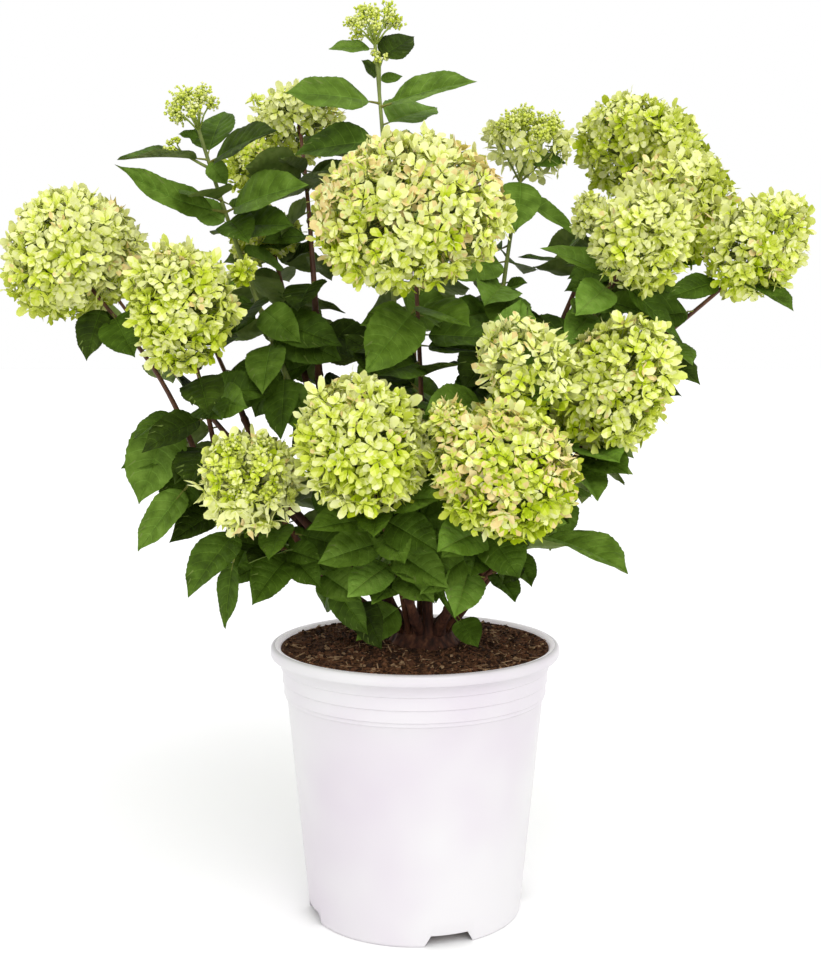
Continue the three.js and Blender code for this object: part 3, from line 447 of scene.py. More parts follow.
# Each shoot starts from the crown at a compass angle (0 right, 90 back), or from the limb it names at a
# share of its length. It bends out by its bow and is bare woody limb for its bare share, and then a stem,
# which sway bends aside. Its heads are places with a width and a height, the first moved and resized by lean
# and narrowed downwards by slim_foot, and the second on a twig from the stem's share twig_at. Its sprigs of
# a few florets beside the head are places with a radius. Its leaves stand out from its stem and its
# limb_leaves from its whole line. Pairs of leaves of the length leaf fill the stem up to the share up_to,
# the first pair at the compass angle turn. A leaf is its share of the stem, compass angle, rise and length,
# and where they aren't the usual ones how flat it lies from 0 upright to 1 level, its width, its stalk's
# share and its bow aside.
SHOOTS = [
    dict(name="far_left", start=205, bow=0.74, bare=0.52, heads=[(-257, -30, 523, 108, 100)], tint="bright",
         sway=(16, 0, 4), lean=(-3, 0, 1, 0, 0),
         leaves=[(0.9, 230, -62, 46, 0.3), (0.84, 280, -24, 60), (0.64, 30, 30, 50),
                 (0.33, 228, -58, 78, 0.3, 1.25, 0.14), (0.07, 243, -48, 54, 0.3, 1.25)],
         pairs=2, turn=200, leaf=62, up_to=0.6),
    dict(name="left", start=("far_left", 0.46), bow=0.45, bare=0.1, heads=[(-171, -90, 483, 88, 94)],
         tint="lime", slim_foot=0.35, sprigs=[(-126, -78, 507, 9)],
         leaves=[(0.14, 204, -41, 95, 0.4, 1, 0.4), (0.5, 305, 5, 58), (0.77, 90, 15, 64),
                 (0.7, 285, -20, 60)],
         pairs=2, turn=100, leaf=66, up_to=0.8),
    dict(name="low_left", start=("far_left", 0.2), bow=0.5, bare=0.35, heads=[(-118, -110, 358, 74, 70)],
         tint="starry", sprigs=[(-95, -112, 362, 13)], leaves=[(0.66, 70, 45, 54)],
         pairs=2, turn=170, leaf=60, up_to=0.8),
    dict(name="upper_left", start=178, bow=0.62, bare=0.42,
         heads=[(-170, -10, 633, 40, 32), (-184, -12, 604, 16, 14)], tint="bud", twig_at=0.84,
         leaves=[(0.87, 198, 8, 68, 0.85, 1.15), (0.7, 222, 21, 94, 0.35, 0.5, 0.12, -0.09),
                 (0.66, 190, 30, 38, 0.4), (0.86, 315, 20, 72), (0.88, 80, 50, 60), (0.87, 300, -40, 28, 0.3),
                 (0.7, 325, 20, 76), (0.68, 295, -15, 50), (0.94, 185, 15, 18), (0.41, 260, -15, 60),
                 (0.33, 340, -20, 66, 0.35), (0.21, 215, -35, 62, 0.2), (0.17, 270, -50, 58, 0.15),
                 (0.15, 320, -55, 42, 0.2), (0.2, 160, -55, 52, 0.2)],
         pairs=3, turn=60, leaf=70, up_to=0.7),
    dict(name="back_cream", start=("upper_left", 0.34), bow=0.35, bare=0.4, heads=[(-98, 90, 644, 78, 44)],
         tint="bright", lean=(0, 0, -8, 0, -2), sprigs=[(-133, 92, 655, 4)],
         leaves=[(0.81, 315, 5, 60), (0.64, 180, 10, 50), (0.59, 290, 20, 60), (0.29, 150, 0, 52),
                 (0.68, 210, 15, 66, 0.95, 0.5), (0.37, 220, 0, 46)],
         pairs=3, turn=60, leaf=66, up_to=0.8),
    dict(name="inner_left", start=("upper_left", 0.26), bow=0.6, bare=0.4,
         heads=[(-132, 78, 600, 50, 42), (-122, 52, 542, 58, 40)], tint="apple",
         leaves=[(0.64, 5, -15, 62, 0.5, 0.7), (0.4, 210, 30, 34, 0.4), (0.35, 5, -5, 50, 0.6, 0.7),
                 (0.2, 330, -20, 66)],
         pairs=3, turn=80, leaf=66, up_to=0.8),
    dict(name="top", start=228, bow=0.45, bare=0.4,
         heads=[(-32, 0, 697, 44, 28), (-27, 0, 672, 14, 12)], tint="bud", twig_at=0.84,
         leaves=[(0.81, 205, 9, 76, 0.55, 1.05), (0.8, 338, 18, 78, 0.6, 1.0), (0.75, 35, 24, 60, 0.4, 1.2),
                 (0.96, 195, 4, 36, 0.6, 1.1), (0.93, 20, 34, 40, 0.3, 1.4), (0.88, 240, 30, 22, 0.4),
                 (0.87, 10, 20, 20, 0.4, 1.2)],
         pairs=2, turn=350, leaf=72, up_to=0.55),
    dict(name="centre", start=278, bow=0.4, bare=0.34, heads=[(-3, -110, 549, 138, 108)], tint="blush",
         lean=(-2, 0, -2, 0, -5),
         leaves=[(0.76, 240, -30, 76), (0.76, 305, -5, 60), (0.65, 310, 0, 62), (0.62, 155, 0, 60),
                 (0.48, 300, 20, 50), (0.38, 300, 0, 60), (0.42, 150, 40, 80), (0.12, 295, -20, 40, 0.3),
                 (0.14, 250, -25, 40, 0.3)],
         limb_leaves=[(0.21, 300, -35, 52, 0.2)],
         pairs=2, turn=60, leaf=70, up_to=0.6),
    dict(name="low_centre", start=258, bow=0.6, bare=0.42, heads=[(-37, -140, 387, 92, 106)], tint="lime",
         sprigs=[(2, -138, 381, 12), (-2, -138, 363, 8)],
         leaves=[(0.68, 320, 15, 56), (0.9, 145, 10, 56)],
         pairs=2, turn=180, leaf=62, up_to=0.8),
    dict(name="low_right", start=302, bow=0.6, bare=0.42, heads=[(61, -160, 371, 104, 88)], tint="rosy",
         sprigs=[(22, -160, 405, 14)],
         leaves=[(0.95, 355, -15, 50), (0.6, 310, -35, 46, 0.35, 1.3)],
         pairs=2, turn=340, leaf=66, up_to=0.8),
    dict(name="open_centre", start=("centre", 0.3), bow=0.45, bare=0.3, heads=[(75, -120, 444, 78, 56)],
         tint="loose", lean=(3, 0, -3, 4, -8),
         sprigs=[(67, -130, 425, 11), (70, -132, 414, 6)],
         leaves=[(0.62, 255, 0, 60), (0.65, 185, 0, 62), (0.9, 55, 60, 70), (0.85, 305, 0, 54)],
         limb_leaves=[(0.17, 245, -50, 62, 0.3)],
         pairs=3, turn=20, leaf=64, up_to=0.7),
    dict(name="right", start=328, bow=0.6, bare=0.45, heads=[(150, -75, 426, 88, 114)], tint="lime",
         lean=(-5, 0, -1, 0, 0),
         leaves=[(0.68, 300, 0, 60), (0.62, 285, -15, 56), (0.95, 130, -15, 50), (0.86, 310, -35, 52, 0.3),
                 (0.78, 285, -50, 40, 0.2), (0.84, 215, 25, 30), (0.2, 300, -5, 36, 0.3)],
         limb_leaves=[(0.38, 275, -35, 40, 0.3)],
         pairs=2, turn=350, leaf=68, up_to=0.7),
    dict(name="upper_right", start=10, bow=0.5, bare=0.48, heads=[(194, 110, 622, 112, 80)], tint="apple",
         lean=(4, 0, -8, 11, 0),
         leaves=[(0.57, 205, 15, 44, 0.8, 0.6), (0.51, 200, 15, 60, 0.9, 0.6),
                 (0.47, 172, 18, 46, 0.5, 0.9)], pairs=3, turn=60, leaf=74),
    dict(name="right_front", start=("upper_right", 0.27), bow=0.5, bare=0.3, heads=[(166, -70, 533, 74, 78)],
         tint="bright", sprigs=[(131, -34, 557, 12), (127, -34, 545, 9)],
         leaves=[(0.87, 155, 30, 60), (0.83, 235, -20, 50), (0.67, 270, -25, 50),
                 (0.89, 345, -41, 94, 0.3, 0.55, 0.1)],
         pairs=2, turn=30, leaf=68, up_to=0.7),
    dict(name="right_back", start=("upper_right", 0.43), bow=0.5, bare=0.3, heads=[(212, 20, 566, 90, 88)],
         tint="warm", lean=(-3, 0, -3, 0, 0), leaves=[], pairs=3, turn=0, leaf=68),
    dict(name="young_right", start=("upper_right", 0.18), bow=0.4, bare=0.4, heads=[(90, 30, 612, 66, 50)],
         tint="young", sprigs=[(63, 25, 619, 9), (118, 25, 614, 8)],
         leaves=[(0.92, 265, -45, 56), (0.83, 355, -27, 62, 0.5, 0.75),
                 (0.98, 350, 5, 34), (0.75, 215, -10, 60), (0.4, 300, 15, 30, 0.3), (0.4, 235, 20, 40, 0.3),
                 (0.36, 355, -20, 44, 0.9, 0.6)],
         pairs=2, turn=20, leaf=70, up_to=0.6),
    dict(name="far_right", start=("upper_right", 0.36), bow=0.6, bare=0.3, heads=[(268, -45, 532, 72, 88)],
         tint="lime", lean=(-12, 0, -5, 0, 0),
         leaves=[(0.9, 300, -17, 62, 0.5, 0.9), (0.88, 215, -8, 64, 0.5, 0.85, 0.25)],
         pairs=3, turn=40, leaf=66, up_to=0.8),
    dict(name="back_far_left", start=142, bow=0.6, bare=0.5, heads=[(-275, 95, 525, 90, 88)], tint="bright",
         leaves=[], pairs=4, turn=140, leaf=74),
    dict(name="back_left", start=("back_far_left", 0.4), bow=0.5, bare=0.35, heads=[(-200, 150, 495, 84, 88)],
         tint="lime", leaves=[], pairs=4, turn=120, leaf=74),
    dict(name="back_low_end", start=("back_far_left", 0.2), bow=0.6, bare=0.4,
         heads=[(-148, 118, 345, 70, 70)], tint="apple", leaves=[], pairs=3, turn=150, leaf=70),
    dict(name="back_centre", start=95, bow=0.5, bare=0.42, heads=[(-5, 190, 569, 104, 90)], tint="blush",
         leaves=[], pairs=4, turn=60, leaf=76),
    dict(name="back_low_left", start=("back_centre", 0.25), bow=0.6, bare=0.4,
         heads=[(-57, 170, 362, 88, 90)], tint="lime", leaves=[], pairs=3, turn=120, leaf=72),
    dict(name="back_right", start=45, bow=0.6, bare=0.42, heads=[(180, 120, 417, 84, 98)], tint="bright",
         leaves=[], pairs=4, turn=30, leaf=72),
    dict(name="back_low_right", start=("back_right", 0.25), bow=0.6, bare=0.4, heads=[(85, 170, 340, 88, 84)],
         tint="rosy", leaves=[], pairs=3, turn=60, leaf=72),
    dict(name="back_upper_right", start=("back_right", 0.38), bow=0.35, bare=0.32,
         heads=[(233, 215, 575, 90, 88)], tint="lime", leaves=[], pairs=4, turn=70, leaf=74),
]


def compass(degrees):
    return np.array([math.cos(math.radians(degrees)), math.sin(math.radians(degrees)), 0.0])


def laid_line(foot, end, bow):
    """Points spread evenly along the curve from a foot to an end, which has gone out by bow at its middle."""
    foot, end = np.array(foot, float), np.array(end, float)
    out = (end - foot) * [bow, bow, BOW_RISE - bow]
    share = np.linspace(0, 1, LINE_STEPS + 1)[:, None]
    curve = (1 - share) ** 2 * foot + 2 * share * (1 - share) * (foot + out) + share ** 2 * end
    return evened(curve)


def evened(points, count=LINE_STEPS + 1):
    """The same path with its points spread evenly by length."""
    gone = np.concatenate([[0], np.cumsum(np.linalg.norm(np.diff(points, axis=0), axis=1))])
    wanted = np.linspace(0, gone[-1], count)
    return np.stack([np.interp(wanted, gone, points[:, axis]) for axis in range(3)], axis=1)


def length_of(line):
    return float(np.linalg.norm(np.diff(line, axis=0), axis=1).sum())


def stretch(line, start, stop):
    """The part of a line between two shares of its length, again with even points."""
    shares = start + (stop - start) * np.linspace(0, 1, len(line))
    return at(line, shares)


def at(line, shares):
    place = np.clip(shares, 0, 1) * (len(line) - 1)
    every = np.arange(len(line))
    return np.stack([np.interp(place, every, line[:, axis]) for axis in range(3)], axis=-1)


def way_along(line, share):
    return unit(at(line, share + 0.005) - at(line, share - 0.005))


def across_path(points):
    """Two directions across a path at each of its points, which turn with it and never twist."""
    ahead = unit(np.gradient(points, axis=0))
    reach = points[-1] - points[0]
    across = np.cross(reach, [0, 0, 1])
    if np.linalg.norm(across) < 0.05 * np.linalg.norm(reach):
        across = np.array([1.0, 0.0, 0.0])
    side = unit(across - (ahead @ across)[:, None] * ahead)
    return side, np.cross(ahead, side)


crown_middle = np.array([*CROWN_AT, CROWN_BASE + CROWN_HEIGHT * 0.5])
lines = {}
for shoot in SHOOTS:
    if isinstance(shoot["start"], tuple):
        carrier, share = shoot["start"]
        foot = at(lines[carrier], share)
    else:
        foot = crown_middle + compass(shoot["start"]) * CANE_RING
    lines[shoot["name"]] = laid_line(foot, shoot["heads"][0][:3], shoot["bow"])

# the straight rod: a cylinder cut across into many rings
bpy.ops.object.select_all(action="DESELECT")
bpy.ops.mesh.primitive_cylinder_add(vertices=ROD_SIDES, radius=1, depth=1, location=(0, 0, 0))
rod = bpy.context.object
bpy.ops.object.mode_set(mode="EDIT")
bpy.ops.mesh.select_mode(type="EDGE")
bpy.ops.mesh.select_all(action="DESELECT")
bpy.ops.object.mode_set(mode="OBJECT")
for edge in rod.data.edges:
    ends = [rod.data.vertices[i].co.z for i in edge.vertices]
    edge.select = abs(ends[0] - ends[1]) > 0.5
bpy.ops.object.mode_set(mode="EDIT")
bpy.ops.mesh.subdivide(number_cuts=ROD_CUTS)
bpy.ops.object.mode_set(mode="OBJECT")


def lay_rod(name, line, foot_radius, tip_radius, seed):
    """A copy of the rod laid along a line, flared at its foot, with nodes and the bark's relief."""
    limb = rod.copy()
    limb.data = rod.data.copy()
    limb.name = name
    bpy.context.scene.collection.objects.link(limb)
    corners = np.empty(len(limb.data.vertices) * 3)
    limb.data.vertices.foreach_get("co", corners)
    corners = corners.reshape(-1, 3)
    share = np.clip(corners[:, 2] + 0.5, 0, 1)
    rings = np.linspace(0, 1, ROD_CUTS + 2)
    points = at(line, rings)
    side, other = across_path(points)
    ring = np.rint(share * (ROD_CUTS + 1)).astype(int)
    size = length_of(line)
    radius = foot_radius + (tip_radius - foot_radius) * share
    radius = radius * (1 + FLARE * np.exp(-share * size / FLARE_REACH))
    to_node = np.abs((share * size / NODE_EVERY + seed * 0.37) % 1 - 0.5) * NODE_EVERY
    radius = radius * (1 + NODE_SWELL * np.exp(-((to_node / NODE_REACH) ** 2)))
    turn = np.arctan2(corners[:, 1], corners[:, 0])
    relief = [noise.noise((math.cos(a) * 2.4, math.sin(a) * 2.4, s * size * 0.07 + seed * 9))
              for a, s in zip(turn, share)]
    radius = radius * (1 + BARK_RELIEF * np.array(relief))
    outward = np.cos(turn)[:, None] * side[ring] + np.sin(turn)[:, None] * other[ring]
    placed = points[ring] + radius[:, None] * outward
    limb.data.vertices.foreach_set("co", (placed * MM).ravel())
    limb.data.update()
    limb.data.materials.append(bark)
    select_only(limb)
    bpy.ops.object.mode_set(mode="EDIT")
    bpy.ops.mesh.select_all(action="SELECT")
    bpy.ops.mesh.normals_make_consistent(inside=False)
    bpy.ops.object.mode_set(mode="OBJECT")
    bpy.ops.object.shade_smooth()
    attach(limb, "root")
    return limb


for count, shoot in enumerate(SHOOTS):
    kind = "branch" if isinstance(shoot["start"], tuple) else "cane"
    node = kind + "_" + shoot["name"]
    foot_radius = BRANCH_RADIUS if kind == "branch" else CANE_RADIUS
    limb_line = stretch(lines[shoot["name"]], 0, shoot["bare"])
    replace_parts(lay_rod("bark_of_" + node, limb_line, foot_radius, LIMB_TIP_RADIUS, count), node)
bpy.data.objects.remove(rod)

# Stems and petioles
# Each limb runs on as this year's stem, still soft: russet on the older shoots and green on the young ones.
# It carries its leaves on short stalks, and inside each flower head it breaks up into fine branchlets.
# Low leafy shoots with no flowers spring straight from the crown.
STEM_RADIUS = 2.3
STEM_TIP_RADIUS = 1.45
STEM_SHORT_OF_HEAD = 0.25
TWIG_AT = 0.55
TWIG_BOW = 0.6
STALK_SHARE = 0.12
LOW_SHOOTS = [
    dict(name="low_leaves_left", start=215, tip=(-132, -72, 322), bow=0.5,
         leaves=[(0.98, 231, -33, 69, 0.4), (0.98, 212, -73, 78, 0.4, 0.65, 0.35), (0.7, 235, -25, 56, 0.4),
                 (0.71, 305, -25, 42, 0.3), (0.47, 292, -50, 52, 0.2, 0.85), (0.3, 272, -40, 46, 0.2),
                 (0.46, 115, -45, 44, 0.3), (1, 50, -15, 60)],
         pairs=2, turn=150, leaf=62, up_to=0.9),
    dict(name="low_leaves_front", start=232, tip=(-24, -72, 330), bow=0.5,
         leaves=[(0.83, 215, -10, 58, 0.4), (0.24, 253, -30, 46, 0.2, 1.2), (0.66, 312, -28, 46, 0.3, 1.3),
                 (0.5, 335, 15, 50, 0.5, 0.8), (0.81, 25, -15, 62), (0.92, 295, -5, 50)],
         pairs=2, turn=120, leaf=60, up_to=0.8),
    dict(name="low_leaves_right", start=315, tip=(92, -82, 318), bow=0.45,
         leaves=[(0.95, 310, 0, 92, 0.75, 1.05), (0.5, 250, -30, 50, 0.5, 0.4, 0.1, 0.6),
                 (0.16, 300, -28, 36, 0.3, 1.2, 0.2), (0.91, 50, 30, 48), (0.56, 295, -15, 44)],
         pairs=2, turn=20, leaf=60, up_to=0.9),
    dict(name="low_leaves_back_left", start=122, tip=(-75, 95, 300), bow=0.6, leaves=[],
         pairs=4, turn=130, leaf=72),
    dict(name="low_leaves_back_right", start=70, tip=(95, 85, 305), bow=0.6, leaves=[],
         pairs=4, turn=40, leaf=72),
]
for shoot in LOW_SHOOTS:
    foot = crown_middle + compass(shoot["start"]) * (CROWN_TOP_RADIUS - 2)
    lines[shoot["name"]] = laid_line(foot, shoot["tip"], shoot["bow"])


def tube(points, radii, sides):
    """Corners and triangles of a round stem along a path, closed to a point at both ends."""
    side, other = across_path(points)
    turn = np.arange(sides) * 2 * math.pi / sides
    circle = np.cos(turn)[None, :, None] * side[:, None] + np.sin(turn)[None, :, None] * other[:, None]
    corners = (points[:, None] + circle * np.asarray(radii)[:, None, None]).reshape(-1, 3)
    here = np.arange(len(points) - 1)[:, None] * sides + np.arange(sides)
    beside = np.arange(len(points) - 1)[:, None] * sides + (np.arange(sides) + 1) % sides
    walls = np.concatenate([
        np.stack([here, beside, beside + sides], -1).reshape(-1, 3),
        np.stack([here, beside + sides, here + sides], -1).reshape(-1, 3),
    ])
    last = (len(points) - 1) * sides
    around, after = np.arange(sides), (np.arange(sides) + 1) % sides
    first_cap = np.stack([after, around, np.full(sides, len(corners))], -1)
    last_cap = np.stack([around + last, after + last, np.full(sides, len(corners) + 1)], -1)
    return np.concatenate([corners, points[:1], points[-1:]]), np.concatenate([walls, first_cap, last_cap])


def whole(part, finish_index):
    """A part with one finish all over."""
    return part[0], part[1], np.full(len(part[1]), finish_index)


RUSSET, GREEN, LIME_STALK = range(3)
GREEN_STEMMED = ["top", "upper_left", "young_right", "open_centre"]
stem_parts = []
stem_lines = {}
twig_lines = {}
for shoot in SHOOTS:
    line = lines[shoot["name"]]
    stop = 1 - shoot["heads"][0][4] * STEM_SHORT_OF_HEAD / length_of(line)
    stem = stretch(line, shoot["bare"], stop)
    stem = stem + np.sin(np.linspace(0, math.pi, len(stem)))[:, None] * shoot.get("sway", (0, 0, 0))
    stem_lines[shoot["name"]] = stem
    steps = max(8, int(length_of(stem) / 9))
    shares = np.linspace(0, 1, steps)
    radii = STEM_TIP_RADIUS + (LIMB_TIP_RADIUS - STEM_TIP_RADIUS) * (1 - shares) ** 1.8
    color = GREEN if shoot["name"] in GREEN_STEMMED else RUSSET
    stem_parts.append(whole(tube(at(stem, shares), radii, 8), color))
    for head in shoot["heads"][1:]:
        twig = laid_line(at(stem, shoot.get("twig_at", TWIG_AT)), head[:3], TWIG_BOW)
        twig_lines[shoot["name"]] = twig
        shares = np.linspace(0, 1, 10)
        stem_parts.append(whole(tube(at(twig, shares), STEM_TIP_RADIUS * (1 - 0.35 * shares), 6), color))
for shoot in LOW_SHOOTS:
    stem = lines[shoot["name"]]
    stem_lines[shoot["name"]] = stem
    shares = np.linspace(0, 1, 16)
    radii = STEM_RADIUS + (STEM_TIP_RADIUS - STEM_RADIUS) * shares
    stem_parts.append(whole(tube(at(stem, shares), radii, 8), RUSSET))

stem_finishes = []
for name, color, deep in [("russet_stem_skin", (112, 72, 48), (78, 46, 32)),
                          ("green_stem_skin", (132, 146, 70), (104, 116, 52)),
                          ("lime_stalk_skin", (172, 188, 88), (144, 162, 64))]:
    blush = [(0.35, paint(*deep)), (0.65, paint(*color))]
    stem_finishes.append(grained(name, paint(*color), 0.55, 0.4, (130, 3, (1, 1, 0.4)), blush, (0.3, 0.0006)))

# Leaves
# Thin ovate blades, mostly 50 to 90 mm long, dark green above and paler below, with a saw-edged rim, a
# drawn-out tip, a pale midrib and six pairs of sunken veins with the blade quilted between them. They grow
# in opposite pairs by the same seeded rule as the solids, each turned aside where it would touch a part.

# a leaf's shape, as shares of its length, and the room it keeps in millimetres
LEAF_WIDTH = 0.54
LEAF_DROOP = 0.16
LEAF_FOLD = 0.2
LEAF_RIDGE = 0.42
LEAF_FACES_OUT = 0.4
LEAF_THICKNESS = 0.032
LEAF_CLEARANCE = 0.8

# how leaves stand along a stem: shares of its length, and turns and rises in degrees
OWN_STEM_FREE = 0.14
LEAF_TRIES = [0, 15, -15, 30, -30, 45, -45]
STEM_LEAFY_FROM = 0.04
LOW_STEM_LEAFY_FROM = 0.3
STEM_LEAFY_TO = 0.86
LOWEST_PAIR = 0.4
PAIR_WANDER = 14
LEAF_VARIES = 0.1
UPPER_LEAVES_SHORTER = 0.2
LOWEST_RISE = -26
HIGHEST_RISE = 10
RISE_VARIES = 12
SHORTER = 0.78
FINER_STALK = 5

# kinds of flower head by their width, and where leaves face forwards or leave the view and the foot free
LARGE_HEAD = 80
SMALL_HEAD = 60
TINY_HEAD = 20
PLANT_MIDDLE_Y = 40
SEEN_THROUGH_Y = 170
LOOKED_AT = (0.3, 0.6, 0.95)
GAP_MARGIN = 4
FOOT_CLEAR_UP_TO = 262


def seeded(seed):
    """Evenly spread numbers from 0 to 1, the same each time for one seed, as the solids draw them."""
    state = [seed]

    def draw_next():
        state[0] = (state[0] * 1664525 + 1013904223) & 0xFFFFFFFF
        return state[0] / 2 ** 32

    return draw_next


def about(random, spread):
    return (random() * 2 - 1) * spread


def head_lumps(random):
    """The places of a head's five soft lumps."""
    lumps = []
    for _ in range(5):
        turn = random() * math.pi * 2
        rise = about(random, 1)
        flat = math.sqrt(1 - rise * rise)
        lumps.append([math.cos(turn) * flat, math.sin(turn) * flat, rise])
    return np.array(lumps)


def head_surface(directions, lumps, head, axis, inset):
    """Points at a share inside a flower head's uneven surface in the given directions, narrower upwards."""
    swell = 1 + 0.07 * (np.maximum(0, directions @ lumps.T) ** 3).sum(axis=1) - 0.07
    points = directions * (swell * (1 - inset))[:, None]
    narrow = 1 - 0.14 * points[:, 2]
    sized = np.stack([points[:, 0] * narrow * head[3] / 2, points[:, 1] * narrow * head[3] / 2,
                      points[:, 2] * head[4] / 2], axis=1)
    return sized @ turn_up_to(axis).T + np.array(head[:3])


def turn_up_to(axis):
    """The 3 by 3 turn that brings the upright to an axis by the shortest way."""
    return np.array(Vector((0, 0, 1)).rotation_difference(Vector(axis)).to_matrix())


def spread_directions(count, draw=None, jitter=0.0):
    """Directions spread evenly over a ball, each moved a little at random."""
    step = np.arange(count) + 0.5
    rise = 1 - 2 * step / count
    turn = step * math.pi * (3 - math.sqrt(5))
    flat = np.sqrt(1 - rise ** 2)
    directions = np.stack([np.cos(turn) * flat, np.sin(turn) * flat, rise], axis=1)
    if draw is not None:
        directions = unit(directions + draw.normal(size=directions.shape) * jitter / math.sqrt(count))
    return directions


placed = []


def touch_tree(corners, faces):
    return BVHTree.FromPolygons([tuple(c) for c in corners], [tuple(int(i) for i in f) for f in faces])


def keep_clear(name, corners, faces, is_leaf=False):
    """Notes a shape in millimetres that leaves mustn't touch."""
    placed.append((name, is_leaf, touch_tree(corners, faces), corners.min(axis=0), corners.max(axis=0)))


def inside_of(tree, point):
    near, way_out, _, _ = tree.find_nearest(point)
    return (Vector(point) - near).dot(way_out) < 0


def meets(corners, faces, is_other):
    low, high = corners.min(axis=0), corners.max(axis=0)
    tree = None
    for name, is_leaf, other, other_low, other_high in placed:
        if not is_other(name, is_leaf) or (other_low > high).any() or (low > other_high).any():
            continue
        if tree is None:
            tree = touch_tree(corners, faces)
        if tree.overlap(other) or (not is_leaf and inside_of(other, corners[0])):
            return True
    return False


RIM_ALONG = np.array([1, 0.64, 0.27, 0, 0.27, 0.64])
RIM_ACROSS = np.array([0, 0.36, 0.48, 0, -0.48, -0.36])
RIM_FACES = np.array([[i, (i + 1) % 6, 6] for i in range(6)] + [[(i + 1) % 6, i, 7] for i in range(6)])


def blade_frame(direction, facing):
    side = unit(np.cross(direction, facing))
    return side, unit(np.cross(side, direction))


def plain_leaf(root, direction, facing, length, clear=0.0):
    """The leaf as the solids have it: six corners round the rim and a ridge above and below."""
    side, normal = blade_frame(direction, facing)
    along = np.append(RIM_ALONG, [LEAF_RIDGE, LEAF_RIDGE])
    across = np.append(RIM_ACROSS, [0, 0]) * LEAF_WIDTH * length
    thick = np.append(np.zeros(6), [LEAF_THICKNESS * length / 2, -LEAF_THICKNESS * length / 2])
    lift = np.abs(across) * LEAF_FOLD - LEAF_DROOP * length * along ** 2 + thick + np.sign(thick) * clear
    return (root + direction * (along * (length + clear))[:, None]
            + side * (across * (1 + 2 * clear / length))[:, None] + normal * lift[:, None])


def crowded(name, root, direction, facing, length):
    """Whether a leaf with room round it meets a part, or its outer stretch a leaf of its own shoot."""
    wide = plain_leaf(root, direction, facing, length, LEAF_CLEARANCE)
    if meets(wide, RIM_FACES, lambda other, is_leaf: other != name):
        return True
    free = OWN_STEM_FREE * length
    outer = plain_leaf(root + direction * free, direction, facing, length - free)
    return meets(outer, RIM_FACES, lambda other, is_leaf: other == name and is_leaf)


leaves = []

# where sky shows through the crown from the front: places and radii on the upright plane through the pot
EYE = np.array([-3.5, -1124.4, 466.1])
SKY_GAPS = [
    (-244, 414, 22), (-223, 440, 20), (-202, 416, 13), (-181, 406, 10), (-207, 453, 11), (-223, 465, 8),
    (-154, 440, 13), (-138, 388, 16), (-118, 387, 17), (-160, 381, 9), (-103, 369, 7), (-94, 319, 11),
    (-84, 248, 22), (-105, 247, 16), (-165, 541, 13), (-54, 671, 8), (-68, 438, 12), (-55, 479, 9),
    (-70, 500, 8), (-90, 505, 5), (-12, 451, 8), (8, 453, 8), (8, 435, 7), (29, 426, 9), (19, 615, 16),
    (63, 596, 14), (89, 541, 16), (103, 582, 14), (101, 488, 20), (237, 471, 20), (270, 474, 17),
    (189, 379, 17), (156, 331, 17), (136, 317, 13), (109, 282, 14), (96, 253, 22), (55, 241, 11),
    (60, 259, 6), (-230, 409, 6), (215, 481, 7), (28, 418, 5), (-200, 414, 9),
]


def in_a_gap(root, direction, length):
    """Whether a leaf would cover one of the gaps, seen from the front."""
    for share in LOOKED_AT:
        point = root + direction * length * share
        x, _, z = EYE + (point - EYE) * (-EYE[1] / (point[1] - EYE[1]))
        near = (math.hypot(x - gap_x, z - gap_z) - radius for gap_x, gap_z, radius in SKY_GAPS)
        if min(near) < GAP_MARGIN:
            return True
    return False


def set_leaf(name, root, heading, rise, length, lie=0.5, wide=1.0, stalk=STALK_SHARE, bow=0.0,
             listed=True, finer=False):
    """Sets one leaf, trying it turned aside before it is left out. Only a listed one may cover a gap."""
    front = -1 if root[1] < PLANT_MIDDLE_Y else 1
    facing = np.array([np.sign(root[0]) * LEAF_FACES_OUT, front * 2 * (1 - lie), 2 * lie])
    tries = [(aside, length) for aside in LEAF_TRIES]
    if listed:
        tries += [(aside, length * SHORTER) for aside in LEAF_TRIES]
    for aside, length in tries:
        direction = compass(heading + aside) * math.cos(math.radians(rise))
        direction[2] = math.sin(math.radians(rise))
        if crowded(name, root + direction * (FINER_STALK if finer else 0), direction, facing, length):
            continue
        if not listed and root[1] < SEEN_THROUGH_Y and in_a_gap(root, direction, length):
            continue
        if not listed and root[2] + direction[2] * length < FOOT_CLEAR_UP_TO:
            continue
        keep_clear(name, plain_leaf(root, direction, facing, length), RIM_FACES, True)
        leaves.append((name, root, direction, facing, length, wide, stalk, bow))
        return


limbs = [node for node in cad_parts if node.startswith(("cane_", "branch_"))]
for node in ["pot", "potting_mix", "woody_crown"] + limbs:
    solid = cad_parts[node].data
    corners = np.array([corner.co for corner in solid.vertices]) / MM
    keep_clear(node, corners, np.array([face.vertices for face in solid.polygons]))

